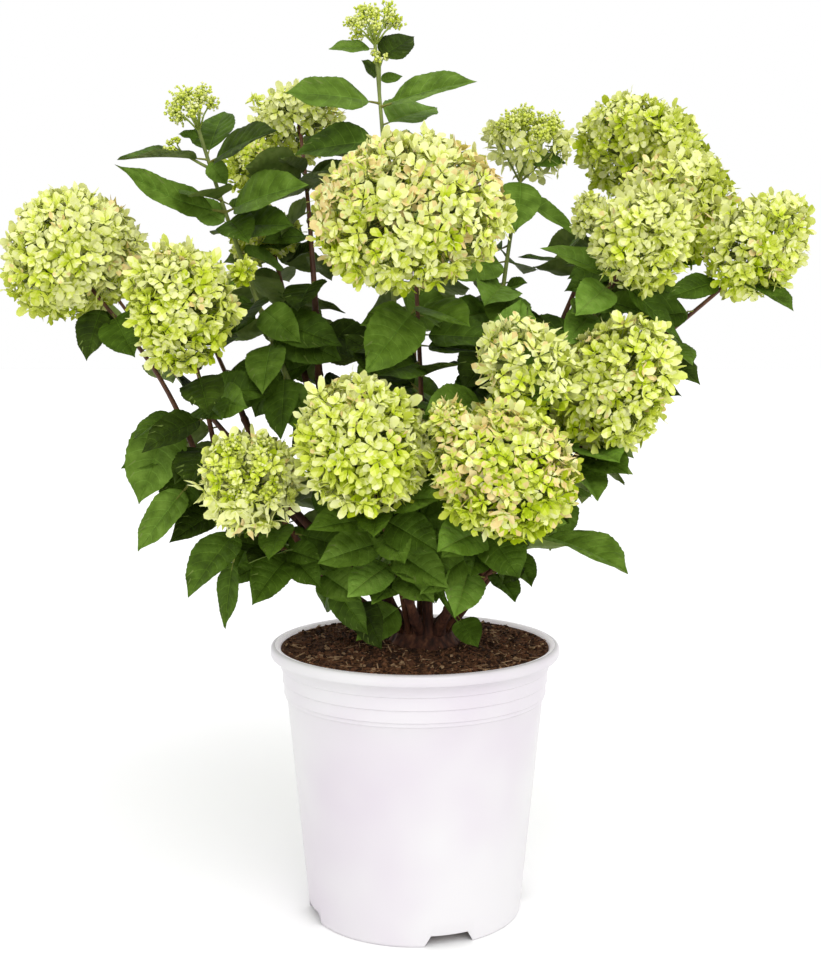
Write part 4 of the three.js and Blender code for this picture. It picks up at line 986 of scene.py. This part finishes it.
# a coarse ball stands for each flower head. The numbers that the solids draw for a head are drawn here too,
# so that every leaf gets the same ones as in the solids
ball_sides, ball_rows = 12, 7
ball_turn = np.arange(ball_sides) * 2 * math.pi / ball_sides
ball_rise = np.linspace(-1, 1, ball_rows + 2)[1:-1] * math.pi / 2
ball = np.array([[math.cos(r) * math.cos(t), math.cos(r) * math.sin(t), math.sin(r)]
                 for r in ball_rise for t in ball_turn] + [[0, 0, -1], [0, 0, 1]])
ball_faces = tube(np.array([[0, 0, r] for r in ball_rise]) + [1e-3, 0, 0], np.ones(ball_rows), ball_sides)[1]
randoms = {}
heads = []
for count, shoot in enumerate(SHOOTS):
    random = seeded(100 + count)
    randoms[shoot["name"]] = random
    stem = stem_lines[shoot["name"]]
    keep_clear(shoot["name"], *tube(at(stem, np.linspace(0, 1, 8)), np.full(8, STEM_RADIUS), 3))
    for place, head in enumerate(shoot["heads"]):
        line = lines[shoot["name"]] if place == 0 else twig_lines[shoot["name"]]
        axis = way_along(line, 1.0)
        lumps = head_lumps(random)
        facets, ball_corners = (80, 42) if head[3] > SMALL_HEAD else (20, 12)
        by_facet = head[3] > LARGE_HEAD or TINY_HEAD < head[3] <= SMALL_HEAD
        for _ in range(facets if by_facet else ball_corners):
            random()
        heads.append((shoot, head, axis, lumps, line))
        keep_clear(shoot["name"], head_surface(ball, lumps, head, axis, 0.05), ball_faces)
for count, shoot in enumerate(LOW_SHOOTS):
    randoms[shoot["name"]] = seeded(200 + count)
    stem = stem_lines[shoot["name"]]
    keep_clear(shoot["name"], *tube(at(stem, np.linspace(0.12, 1, 8)), np.full(8, STEM_RADIUS), 3))

for shoot in SHOOTS + LOW_SHOOTS:
    for share, *shape in shoot["leaves"]:
        set_leaf(shoot["name"], at(stem_lines[shoot["name"]], share), *shape)
    for share, *shape in shoot.get("limb_leaves", []):
        heading, rise, length, lie = shape
        set_leaf(shoot["name"], at(lines[shoot["name"]], share), heading, rise, length, lie, finer=True)


def set_pair(shoot, root, heading, leaf, sizes, rises, finer):
    """Sets an opposite pair of leaves. Each draws its length and its rise about a middle, by a spread."""
    random = randoms[shoot["name"]]
    for opposite in [0, 180]:
        length = leaf * (sizes[0] + about(random, sizes[1]))
        rise = rises[0] + about(random, rises[1])
        set_leaf(shoot["name"], root, heading + opposite, rise, length, listed=False, finer=finer)


for shoot in SHOOTS + LOW_SHOOTS:
    random = randoms[shoot["name"]]
    leafy_from = STEM_LEAFY_FROM if "heads" in shoot else LOW_STEM_LEAFY_FROM
    leafy_to = shoot.get("up_to", STEM_LEAFY_TO)
    for pair in range(shoot["pairs"]):
        share = (pair + LOWEST_PAIR) / shoot["pairs"]
        root = at(stem_lines[shoot["name"]], leafy_from + (leafy_to - leafy_from) * share)
        heading = shoot["turn"] + pair * 90 + about(random, PAIR_WANDER)
        leaf = shoot["leaf"] * (1 - UPPER_LEAVES_SHORTER * share)
        rise = LOWEST_RISE + (HIGHEST_RISE - LOWEST_RISE) * share
        set_pair(shoot, root, heading, leaf, (1, LEAF_VARIES), (rise, RISE_VARIES), False)

# leaves between the pairs and on short twigs along the upper limb, wherever there is still room
STEM_STEPS = 7
STEM_STEPS_FROM, STEM_STEPS_REACH = 0.03, 0.78
LIMB_STEPS = 4
LIMB_STEPS_FROM = 0.5
STEP_WANDER = 0.6
STEM_STEP_TURN, LIMB_STEP_TURN = 80, 100
STEM_LEAF_SIZES = (0.8, 0.16)
LIMB_LEAF_SIZES = (0.85, 0.16)
STEM_LEAF_RISE, STEM_LEAF_RISE_GAIN = -34, 44
LIMB_LEAF_RISE = -24
FINER_RISE_VARIES = 18

for shoot in SHOOTS + LOW_SHOOTS:
    random = randoms[shoot["name"]]
    for step in range(STEM_STEPS):
        share = STEM_STEPS_FROM + STEM_STEPS_REACH * (step + random() * STEP_WANDER) / STEM_STEPS
        root = at(stem_lines[shoot["name"]], share)
        heading = shoot["turn"] + 45 + step * STEM_STEP_TURN
        rises = (STEM_LEAF_RISE + STEM_LEAF_RISE_GAIN * share, FINER_RISE_VARIES)
        set_pair(shoot, root, heading, shoot["leaf"], STEM_LEAF_SIZES, rises, True)
    if "heads" not in shoot:
        continue
    for step in range(LIMB_STEPS):
        along = (step + random() * STEP_WANDER) / LIMB_STEPS
        root = at(lines[shoot["name"]], shoot["bare"] * (LIMB_STEPS_FROM + (1 - LIMB_STEPS_FROM) * along))
        heading = shoot["turn"] + step * LIMB_STEP_TURN
        rises = (LIMB_LEAF_RISE, FINER_RISE_VARIES)
        set_pair(shoot, root, heading, shoot["leaf"], LIMB_LEAF_SIZES, rises, True)

# the fine blade: its sizes are shares of the leaf's length, and its stalk's radius that of a 70 mm leaf
LEAF_VEINS = 6
FIRST_VEIN = 0.05
VEINS_REACH = 0.76
VEIN_ROWS = 3
VEIN_HALF = 0.0034
VEIN_LEAN = 0.2
MIDRIB_HALF = 0.0075
MIDRIB_GROOVE = 0.006
BLADE_THICK = 0.011
QUILT = 0.013
TOOTH = 0.03
WIDEST_AT = 0.36
TIP_FROM = 0.78
RIPPLES = 15
BLADE_WIDER = (1.06, 1.3)
SWEEP_VARIES = 0.035
TWIST_VARIES = 0.22
STALK_RADIUS = 0.95
STALK_LEAF = 70

# where each row of the blade starts on the midrib: at both edges of every vein and evenly between them
vein_starts = FIRST_VEIN + VEINS_REACH * (np.arange(LEAF_VEINS) + 0.35) / LEAF_VEINS
row_starts = [0.0]
row_quilt = [0.0]
vein_strips = []
before = 0.0
for vein in list(vein_starts) + [1.0]:
    last = vein == 1.0
    stop = 1.0 if last else vein - VEIN_HALF
    for step in range(1, VEIN_ROWS + 1):
        share = step / VEIN_ROWS
        row_starts.append(before + (stop - before) * share)
        row_quilt.append(4 * share * (1 - share) * (0.6 if last else 1.0))
    if not last:
        vein_strips.append(len(row_starts) - 1)
        row_starts.append(vein + VEIN_HALF)
        row_quilt.append(0.0)
        before = vein + VEIN_HALF
row_starts = np.array(row_starts)
row_quilt = np.array(row_quilt)
ROWS = len(row_starts)
TOP_COLUMNS = np.array([-1, -0.62, -0.3, -0.035, 0, 0.035, 0.3, 0.62, 1])
UNDER_COLUMNS = np.array([-0.5, 0, 0.5])


def outline(share):
    """The blade's width at a share of its length, as a share of its widest: ovate, with a drawn-out tip."""
    base = 1 - np.clip(1 - share / WIDEST_AT, 0, 1) ** 2.3
    rest = 1 - np.clip((share - WIDEST_AT) / (1 - WIDEST_AT), 0, 1) ** 2.2
    near_tip = np.clip((share - TIP_FROM) / (1 - TIP_FROM), 0, 1)
    return base ** 0.78 * rest * (1 - 0.5 * near_tip)


def leaf_faces():
    """Triangles of a blade's grid of corners, with each one's finish: blade, vein or underside."""
    top = np.arange(ROWS * 9).reshape(ROWS, 9)
    under = np.arange(ROWS * 3).reshape(ROWS, 3) + ROWS * 9
    for grid in (top, under):
        grid[0, :] = top[0, 4]
        grid[-1, :] = top[-1, 4]
    triangles, kinds = [], []
    for row in range(ROWS - 1):
        for column in range(8):
            a, b = top[row, column], top[row, column + 1]
            c, d = top[row + 1, column + 1], top[row + 1, column]
            on_vein = row in vein_strips or column in (3, 4)
            triangles += [(a, b, c), (a, c, d)]
            kinds += [1 if on_vein else 0] * 2
        below = [top[row, 0], *under[row], top[row, 8]]
        above = [top[row + 1, 0], *under[row + 1], top[row + 1, 8]]
        for column in range(4):
            a, b, c, d = below[column], below[column + 1], above[column + 1], above[column]
            triangles += [(a, c, b), (a, d, c)]
            kinds += [2, 2]
    triangles, kinds = np.array(triangles), np.array(kinds)
    whole_ones = (triangles[:, 0] != triangles[:, 1]) & (triangles[:, 1] != triangles[:, 2])
    whole_ones &= triangles[:, 0] != triangles[:, 2]
    return triangles[whole_ones], kinds[whole_ones]


BLADE_FACES, BLADE_KINDS = leaf_faces()
draw = np.random.default_rng(11)


def grow_leaf(root, direction, facing, length, wide, stalk, bow, green):
    """One leaf as two parts, its stalk and its blade, with small differences of its own."""
    side, normal = blade_frame(direction, facing)
    droop = LEAF_DROOP * draw.uniform(0.8, 1.15)
    fold = LEAF_FOLD * draw.uniform(0.6, 1.7)
    sweep = draw.normal() * SWEEP_VARIES
    twist = draw.normal() * TWIST_VARIES
    wave, phase = draw.uniform(0.006, 0.02), draw.uniform(0, 6.28, 2)
    blade_length = length * (1 - stalk)
    width = LEAF_WIDTH * blade_length * 0.5 * draw.uniform(*BLADE_WIDER) * wide

    def laid(start, columns, below):
        """Corners of one side, from where its rows start on the midrib. Below is 0 on top and 1 beneath."""
        forward = start[:, None] + (VEIN_LEAN * np.sin(math.pi * start))[:, None] * np.abs(columns) ** 1.5
        half = outline(forward) * width
        tooth = np.where(np.arange(len(start)) % 2 == 0, TOOTH, -TOOTH * 0.3)[:, None]
        edge = np.abs(columns) == 1
        across = columns * half * (1 + tooth * edge * (half > 0.02 * length))
        rib = np.minimum(MIDRIB_HALF * length * (1 - 0.7 * start), 0.5 * half[:, 0])[:, None]
        narrow = np.abs(columns) == 0.035
        across = np.where(narrow, np.sign(columns) * rib, across)
        along = stalk + (1 - stalk) * forward
        sag = droop * length * along ** 2
        lift = np.abs(across) * fold - sag
        crest = np.interp(np.abs(columns), [0, 0.2, 0.6, 1], [0, 0.8, 1, 0.15])
        bulge = QUILT * length * row_quilt[:, None] * crest
        ripple = np.sin(along * RIPPLES + phase[(columns > 0).astype(int)]) * np.abs(columns) ** 2
        groove = -MIDRIB_GROOVE * length * (np.abs(columns) < 0.01)
        lift = lift + bulge + wave * length * ripple + groove
        lift = lift - below * length * BLADE_THICK * (1 - np.abs(columns))
        turn = twist * along
        y = across * np.cos(turn) - (lift + sag) * np.sin(turn) + sweep * length * along ** 2
        y = y + bow * length * np.sin(math.pi * along)
        z = lift * np.cos(turn) + across * np.sin(turn)
        points = root + (along * length)[..., None] * direction + y[..., None] * side + z[..., None] * normal
        return points.reshape(-1, 3)

    blade = np.concatenate([laid(row_starts, TOP_COLUMNS, 0), laid(row_starts, UNDER_COLUMNS, 1)])
    kinds = np.where(BLADE_KINDS == 0, green, np.where(BLADE_KINDS == 1, green + 1, LEAF_UNDER))
    base = blade[4]
    shares = np.linspace(0, 1.25, 6)[:, None]
    start = root + unit(direction) * STEM_TIP_RADIUS * 0.4
    path = start + (base - start) * shares
    radii = STALK_RADIUS * length / STALK_LEAF * np.array([1.5, 1.0, 0.9, 0.85, 0.7, 0.3])
    return [whole(tube(path, radii, 6), LEAF_STALK), (blade, BLADE_FACES, kinds)]


# four greens come first, from shaded to bright, which are painted shade and light dealt out by place, and a
# leaf's veins have the next paler finish after its own
LEAF_UNDER, LEAF_STALK = 5, 6
leaf_finishes = []
for name, deep, main, light, rough in [
    ("shaded_blade", (36, 50, 10), (48, 64, 13), (62, 82, 20), 0.6),
    ("dark_green_blade", (54, 74, 16), (67, 92, 22), (84, 112, 34), 0.55),
    ("green_blade", (74, 99, 26), (89, 117, 36), (107, 136, 50), 0.55),
    ("bright_green_blade", (90, 120, 36), (105, 138, 50), (124, 157, 64), 0.55),
    ("pale_green_vein", (112, 136, 52), (124, 148, 62), (136, 160, 76), 0.55),
    ("pale_underside", (92, 112, 50), (108, 126, 60), (122, 138, 74), 0.6),
    ("green_leaf_stalk", (112, 104, 52), (126, 130, 62), (138, 146, 72), 0.5),
]:
    mottle = [(0.32, paint(*deep)), (0.5, paint(*main)), (0.7, paint(*light))]
    leaf_finishes.append(grained(name, paint(*main), rough, 0.08, (90, 5), mottle, (0.5, 0.0012), (420, 4)))

# leaves inside the crown get painted shade, most of all left of its middle, the far and low shoots a lighter
# painted shade, and those of the young shoots
# are a lighter green of their own: the chance of each green, and the place and reach of the painted shade's
# heart
PAINTED_SHADE_HEART = np.array([-70, 30, 430])
PAINTED_SHADE_REACH = np.array([150, 110, 120])
INSIDE_WITHIN, BETWEEN_WITHIN = 0.9, 1.3
GREENS_OUTSIDE = [0.05, 0.32, 0.47, 0.16]
GREENS_BETWEEN = [0.24, 0.5, 0.23, 0.03]
GREENS_INSIDE = [0.74, 0.24, 0.02, 0.0]
GREENS_YOUNG = [0.08, 0.46, 0.4, 0.06]
GREENS_PAINTED_DIM = [0.3, 0.5, 0.2, 0.0]
YOUNG_SHOOTS = ["top", "young_right", "upper_left"]
PAINTED_DIM_SHOOTS = ["far_left", "far_right"] + [shoot["name"] for shoot in LOW_SHOOTS]
BACK_FROM = 60
LEFT_UP_TO, RIGHT_FROM = -60, 70


def side_of(point):
    """The part of the plant that a place is in, which names the joined piece it goes to."""
    if point[1] > BACK_FROM:
        return "back_left" if point[0] < 0 else "back_right"
    return "left" if point[0] < LEFT_UP_TO else "right" if point[0] > RIGHT_FROM else "middle"


leaf_groups = {}
for name, root, direction, facing, length, wide, stalk, bow in leaves:
    # a leaf's green is painted shade by where it sits, except on the young shoots
    middle = root + direction * length * 0.5
    out = np.linalg.norm((middle - PAINTED_SHADE_HEART) / PAINTED_SHADE_REACH)
    chances = GREENS_BETWEEN if out < BETWEEN_WITHIN else GREENS_OUTSIDE
    if out < INSIDE_WITHIN:
        chances = GREENS_INSIDE
    if name in YOUNG_SHOOTS:
        chances = GREENS_YOUNG
    elif name in PAINTED_DIM_SHOOTS:
        chances = GREENS_PAINTED_DIM
    green = int(draw.choice(4, p=chances))
    group = side_of(middle)
    leaf_groups.setdefault(group, ([], set()))
    leaf_groups[group][0].extend(grow_leaf(root, direction, facing, length, wide, stalk, bow, green))
    leaf_groups[group][1].add("shoot_" + name)


def sharp_rims(piece, angle):
    """Smooth shading with the thin rims kept crisp."""
    select_only(piece)
    bpy.ops.object.shade_smooth_by_angle(angle=math.radians(angle))


for group, (parts, nodes_replaced) in leaf_groups.items():
    piece = joined_piece("leaves_" + group, parts, leaf_finishes)
    sharp_rims(piece, 75)
    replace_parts(piece, *sorted(nodes_replaced))

# Flower heads
# Rounded panicles of papery sterile florets, packed so close that they hide their thin stalks. Each floret
# has four broad overlapping sepals round a bead, cream on the open ones, lime on the younger ones and flushed
# pink on the oldest. A second layer of greener florets lies behind the outer one, so no gap looks empty: its
# green is partly that of the younger inner florets and partly painted shade for the hollows.
FLORET = 15.0
FLORET_COVER = 2.15
FLORET_SIZES = (0.78, 1.2)
FLORET_SPREAD = 0.9
SMALL_HEAD_FLORET, MIDDLE_HEAD_FLORET = 0.72, 0.92
INNER_SHARE = 0.3
INNER_DEEPER = 0.18
# how much greener the inner layer is: partly the inner florets' own colour, partly painted shade in the
# hollows
INNER_GREEN_AND_SHADE = 0.15
DEEPEST = 0.6
CREAM_VARIES = 0.13
CREAM_CLOUDS = 0.22
PINK_ALL_OVER = 0.2
SEPAL_RIM = [
    (0.06, 0), (0.34, 0.24), (0.7, 0.41), (0.96, 0.3), (1.07, 0), (0.96, -0.3), (0.7, -0.41), (0.34, -0.24),
]
SEPAL_MIDDLE = (0.58, 0)
SEPAL_THICK = 0.04
VARIANTS = 48
FLORET_TILT = 0.42
CREAM, PALE_LIME, LIME, APPLE, SHADE, BLUSH, BEAD = range(7)
SEPAL_FACES = np.array([(8, (i + 1) % 8, i) for i in range(8)] + [(9, i, (i + 1) % 8) for i in range(8)])
SEPAL_ZONES = [1, 0, 0, 2, 2, 0, 0, 1] + [0] * 8
BEAD_POINTS = np.array([
    [0.11, 0, 0.04], [-0.055, 0.095, 0.04], [-0.055, -0.095, 0.04], [0, 0, 0.2], [0, 0, -0.08],
])
BEAD_FACES = np.array([(0, 1, 3), (1, 2, 3), (2, 0, 3), (1, 0, 4), (2, 1, 4), (0, 2, 4)])


def make_floret(draw, cup, pointed):
    """Corners, triangles and zones of one floret of radius 1: zone 0 blade, 1 heart, 2 rim, 3 bead."""
    corners, faces, zones = [], [], []
    for count in range(4):
        size = draw.uniform(0.8, 1.12)
        wide = draw.uniform(0.92, 1.14) * (1 - 0.3 * pointed)
        bend = cup * draw.uniform(0.5, 1.5)
        dish = draw.uniform(0.0, 0.22)
        points = np.array([*SEPAL_RIM, SEPAL_MIDDLE, SEPAL_MIDDLE])
        points[4, 0] += pointed * 0.22
        points[[3, 5], 1] *= 1 - pointed * 0.4
        points[:, 1] += draw.normal() * 0.08 * points[:, 0]
        points *= [size, size * wide]
        points[:8] += draw.normal(size=(8, 2)) * 0.018
        lift = bend * points[:, 0] ** 2 + dish * np.abs(points[:, 1]) * 2 + (0.07 if count % 2 else 0)
        lift[:8] += draw.normal(size=8) * 0.05 * (points[:8, 0] > 0.3)
        lift[8] = lift[1:8].mean() * 0.8 - 0.02
        lift[9] = lift[8] - SEPAL_THICK
        turn = math.radians(90 * count + draw.normal() * 8)
        x = points[:, 0] * math.cos(turn) - points[:, 1] * math.sin(turn)
        y = points[:, 0] * math.sin(turn) + points[:, 1] * math.cos(turn)
        faces.append(SEPAL_FACES[:, [0, 2, 1]] + 10 * count)
        corners.append(np.stack([x, y, lift], 1))
        zones += SEPAL_ZONES
    faces.append(BEAD_FACES + 40)
    corners.append(BEAD_POINTS)
    zones += [3] * 6
    return np.concatenate(corners), np.concatenate(faces), np.array(zones)


# For each tint: how cream the florets are at the top and at the foot of the head, from 0 for deep green to 1
# for cream, the share that is flushed pink, how full the head is, its florets' size and how pointed they are
TINTS = {
    "bright": dict(top=0.96, foot=0.66, rosy=0.05, fill=1.0, size=1.0, pointed=0.2),
    "lime": dict(top=0.84, foot=0.5, rosy=0.06, fill=1.0, size=1.0, pointed=0.2),
    "apple": dict(top=0.76, foot=0.5, rosy=0.02, fill=1.0, size=0.95, pointed=0.25),
    "blush": dict(top=1.0, foot=0.54, rosy=0.42, fill=1.0, size=1.0, pointed=0.15),
    "warm": dict(top=0.88, foot=0.5, rosy=0.28, fill=1.0, size=1.0, pointed=0.25),
    "rosy": dict(top=0.8, foot=0.42, rosy=0.75, fill=1.0, size=1.0, pointed=0.35),
    "loose": dict(top=0.98, foot=0.62, rosy=0.2, fill=0.66, size=1.05, pointed=0.45),
    "starry": dict(top=0.86, foot=0.86, rosy=0.08, fill=0.8, size=1.1, pointed=0.35),
    "young": dict(top=0.9, foot=1.0, rosy=0.03, fill=0.5, size=1.2, pointed=0.4),
}
# the starry head is seen from above its tip, where the florets are still small and lime
STARRY_TIP = unit(np.array([0, -0.9, 0.45]))
STARRY_YOUNG_FROM = 0.5
CREAM_STEPS = [0.78, 0.58, 0.4, 0.24]


def head_area(head):
    wide, high = head[3] / 2, head[4] / 2
    return 4 * math.pi * (((wide * wide) ** 1.6 + 2 * (wide * high) ** 1.6) / 3) ** (1 / 1.6)


def dress_head(shoot, head, axis, lumps, draw):
    """A head's florets in two layers, and the places of the stalks behind the outer one."""
    tint = TINTS[shoot["tint"]]
    smaller = SMALL_HEAD_FLORET if head[3] < SMALL_HEAD else MIDDLE_HEAD_FLORET if head[3] < LARGE_HEAD else 1
    floret = FLORET * tint["size"] * smaller
    outer = int(head_area(head) / (math.pi * floret ** 2 / 4) * FLORET_COVER * tint["fill"])
    inner = int(outer * INNER_SHARE)
    turned = turn_up_to(axis)
    overhang = 0.04 + 0.25 * floret / (head[3] / 2)
    full = tint["fill"] > 0.9
    parts = []
    for count, inset, is_inner in [(outer, overhang, False), (inner, overhang + INNER_DEEPER, True)]:
        directions = spread_directions(count, draw, FLORET_SPREAD)
        directions = directions[directions[:, 2] > -0.95]
        if shoot["tint"] == "young" and head[3] > TINY_HEAD:
            directions = directions[directions[:, 2] < 0.15]
        many = len(directions)
        depth = inset + draw.normal(size=many) * (0.05 if full else 0.09)
        depth = np.clip(depth, overhang * 0.4, DEEPEST)
        points = head_surface(directions, lumps, head, axis, depth)
        if "slim_foot" in shoot:
            below = np.clip(0.5 - (points[:, 2] - head[2]) / head[4], 0, 1)
            inward = np.array(head[:2]) - points[:, :2]
            points[:, :2] += inward * (shoot["slim_foot"] * below ** 1.5)[:, None]
        slopes = directions / np.array([head[3], head[3], head[4]])
        tilt = draw.normal(size=points.shape) * FLORET_TILT
        outward = unit(unit(slopes) @ turned.T + tilt)
        side = unit(np.cross(outward, draw.normal(size=points.shape)))
        turns = np.stack([side, np.cross(outward, side), outward], axis=2)
        radius = floret / 2 * draw.uniform(*FLORET_SIZES, many)
        variant = draw.integers(0, VARIANTS // 2, many) * 2 + (draw.random(many) < tint["pointed"])
        share = np.clip((points[:, 2] - head[2]) / head[4] + 0.5, 0, 1)
        cream = tint["foot"] + (tint["top"] - tint["foot"]) * share + draw.normal(size=many) * CREAM_VARIES
        cream += [noise.noise(tuple(point * 0.045)) * CREAM_CLOUDS for point in points]
        if shoot["tint"] == "starry" and head[3] > SMALL_HEAD:
            still_young = unit(points - np.array(head[:3])) @ STARRY_TIP > STARRY_YOUNG_FROM
            radius = radius * np.where(still_young, 0.8, 1.1)
            cream -= still_young * 0.3
        # the inner layer is greener: partly its own colour, partly painted shade in the hollows behind the
        # outer florets
        if is_inner:
            cream -= INNER_GREEN_AND_SHADE
        base = np.digitize(-cream, [-step for step in CREAM_STEPS])
        patch = np.array([noise.noise(tuple(point * 0.03 + 40)) for point in points])
        rosy = tint["rosy"] * (0.3 + 0.9 * share) * (1 + 2.5 * patch) * (0.7 + 0.9 * directions[:, 0] ** 2)
        flushed = draw.random(many) < rosy
        all_over = flushed & (draw.random(many) < PINK_ALL_OVER)
        for kind in range(VARIANTS):
            chosen = variant == kind
            if not chosen.any():
                continue
            corners, faces, zones = florets[kind]
            sizes = radius[chosen][:, None] * np.ones((1, 3))
            body = copies(corners, faces, turns[chosen], sizes, points[chosen])
            blade = np.where(all_over[chosen], BLUSH, base[chosen])[:, None]
            heart = np.where(blade == BLUSH, CREAM, np.minimum(blade + 1, SHADE))
            paler = np.where(blade == BLUSH, BLUSH, np.maximum(blade - 1, CREAM))
            rim = np.where(flushed[chosen][:, None], BLUSH, paler)
            colour = np.choose(zones[None], [blade, heart, rim, BEAD])
            parts.append((*body, colour.ravel()))
        if not is_inner:
            hubs = head_surface(directions, lumps, head, axis, np.full(many, DEEPEST))
            stalks.extend(zip(points[::2], hubs[::2]))
    return parts


stalks = []
draw = np.random.default_rng(23)
florets = []
for kind in range(VARIANTS):
    pointed = draw.uniform(0.6, 1.0) if kind % 2 else draw.uniform(0, 0.25)
    florets.append(make_floret(draw, draw.uniform(0.05, 0.75), pointed))
bloom_finishes = []
for name, deep, light in [
    ("cream_sepal", (226, 230, 144), (238, 240, 180)), ("pale_lime_sepal", (212, 222, 98), (228, 234, 136)),
    ("lime_sepal", (194, 208, 58), (212, 222, 92)), ("apple_green_sepal", (172, 192, 24), (192, 210, 46)),
    ("deep_green_sepal", (148, 170, 8), (168, 188, 18)), ("blush_sepal", (222, 198, 128), (236, 218, 158)),
    ("floret_bead", (150, 166, 50), (176, 186, 74)),
]:
    clouds = [(0.35, paint(*deep)), (0.65, paint(*light))]
    bloom_finishes.append(grained(name, paint(*light), 0.62, 0.1, (150, 3), clouds, (0.25, 0.0005), (700, 3)))

bloom_groups = {}
for shoot, head, axis, lumps, line in heads:
    if shoot["tint"] == "bud":
        continue
    group = side_of(head[:3])
    bloom_groups.setdefault(group, ([], set()))
    leaning = tuple(np.array(head) + shoot.get("lean", (0, 0, 0, 0, 0)))
    bloom_groups[group][0].extend(dress_head(shoot, leaning, axis, lumps, draw))
    for x, y, z, radius in shoot.get("sprigs", []) if head is shoot["heads"][0] else []:
        sprig = (x, y, z, radius * 2, radius * 2)
        bloom_groups[group][0].extend(dress_head(shoot, sprig, axis, lumps, draw))
        stem_parts.append(whole(tube(np.array([at(line, 0.9), [x, y, z]]), [0.9, 0.6], 4), GREEN))
    bloom_groups[group][1].add("shoot_" + shoot["name"])
for group, (parts, nodes_replaced) in bloom_groups.items():
    piece = joined_piece("florets_" + group, parts, bloom_finishes)
    sharp_rims(piece, 80)
    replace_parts(piece, *sorted(nodes_replaced))

# the thin stalks behind the florets
for point, hub in stalks:
    stem_parts.append(whole(tube(np.array([hub, point]), [0.6, 0.4], 3), GREEN))

# Bud panicles
# The youngest heads have not opened: a spray of fine branching stalks with a round lime bud on each end.
# The heads that are half open carry such buds at the tip, among their first florets.
BUD = 2.3
bud_points = np.array([[1, 0, 0], [0, 1, 0], [-1, 0, 0], [0, -1, 0], [0, 0, 1], [0, 0, -1]], float)
bud_faces = np.array([(0, 1, 4), (1, 2, 4), (2, 3, 4), (3, 0, 4), (1, 0, 5), (2, 1, 5), (3, 2, 5), (0, 3, 5)])
bud_parts = []
bud_nodes = set()
BUD_LOOKS = {
    "bud": dict(branches=13, reach=0.16, cluster=0.22, each=8, size=1.2),
    "young": dict(branches=20, reach=0.12, cluster=0.17, each=9, size=1.35),
    "starry": dict(branches=14, reach=0.16, cluster=0.12, each=34, size=1.5),
}
for shoot, head, axis, lumps, line in heads:
    if shoot["tint"] not in BUD_LOOKS:
        continue
    look = BUD_LOOKS[shoot["tint"]]
    base = np.array(head[:3]) - axis * head[4] * 0.55
    branches = look["branches"] if head[3] > TINY_HEAD else 5
    ways = spread_directions(int(branches * 1.5), draw, 0.35)
    if shoot["tint"] == "starry":
        ways = ways[ways @ turn_up_to(axis).T @ STARRY_TIP > STARRY_YOUNG_FROM]
    else:
        ways = ways[ways[:, 2] > (0.1 if shoot["tint"] == "young" else -0.35)]
    ends = head_surface(ways, lumps, head, axis, look["reach"] + draw.random(len(ways)) * 0.2)
    for end in ends:
        bow = (base + end) / 2 + axis * 2
        stem_parts.append(whole(tube(np.array([base, bow, end]), [0.8, 0.65, 0.5], 4), LIME_STALK))
    each = int(head_area(head) / look["each"] / len(ends))
    cluster = min(head[3], head[4]) * look["cluster"]
    for end, way in zip(ends, ways @ turn_up_to(axis).T):
        around = spread_directions(each, draw, 1.2) + way * 0.35
        spray = end + around * cluster * draw.uniform(0.3, 1.05, (each, 1))
        sizes = BUD * look["size"] * draw.uniform(0.3, 0.58, each)[:, None] * np.array([[1, 1, 1.15]])
        body = copies(bud_points, bud_faces, any_turns(draw, each), sizes, spray)
        colour = np.repeat(draw.choice([PALE_LIME, LIME, APPLE, CREAM], each, p=[0.45, 0.3, 0.05, 0.2]), 8)
        bud_parts.append((*body, colour))
        for bud in spray[::2]:
            stem_parts.append(whole(tube(np.array([end, bud]), [0.3, 0.25], 3), LIME_STALK))
    bud_nodes.add("shoot_" + shoot["name"])
buds = joined_piece("lime_buds", bud_parts, bloom_finishes)
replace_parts(buds, *sorted(bud_nodes))
stems = joined_piece("stems_and_stalks", stem_parts, stem_finishes)
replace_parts(stems, *["shoot_" + shoot["name"] for shoot in SHOOTS + LOW_SHOOTS])

# Camera, floor and light
# The photograph's own view, from EYE and a little down, on a plain white floor in soft light from all round,
# with a wide soft sun from the front. The lens is fitted to the photograph's perspective: its length in
# pixels of a picture 958 high is turned into millimetres of a 36 mm film.
LOOKS_DOWN = 6
FOCAL_PIXELS = 1430
PICTURE_HEIGHT = 958
FILM = 36
SUN_FROM = Vector((0.3, -1.0, 0.9))
SUN_ENERGY = 1.25
SUN_WIDTH = 50
bpy.ops.object.camera_add(location=tuple(EYE * MM), rotation=(math.radians(90 - LOOKS_DOWN), 0, 0))
camera = bpy.context.object
camera.data.lens = FILM * FOCAL_PIXELS / PICTURE_HEIGHT
bpy.context.scene.camera = camera
bpy.ops.mesh.primitive_plane_add(size=30)
floor = bpy.context.object
floor.data.materials.append(finish("white_paper", (0.96, 0.96, 0.96, 1), 0.9, 0.1))
world = bpy.data.worlds.new("soft_white_light")
bpy.context.scene.world = world
world.use_nodes = True
world.node_tree.nodes["Background"].inputs["Color"].default_value = (1, 1, 1, 1)
world.node_tree.nodes["Background"].inputs["Strength"].default_value = 1.0
bpy.ops.object.light_add(type="SUN", location=(1, -1, 2))
sun = bpy.context.object
sun.data.energy = SUN_ENERGY
sun.data.angle = math.radians(SUN_WIDTH)
sun.rotation_euler = (-SUN_FROM).to_track_quat("-Z", "Y").to_euler()
bpy.context.scene.view_settings.view_transform = "Standard"
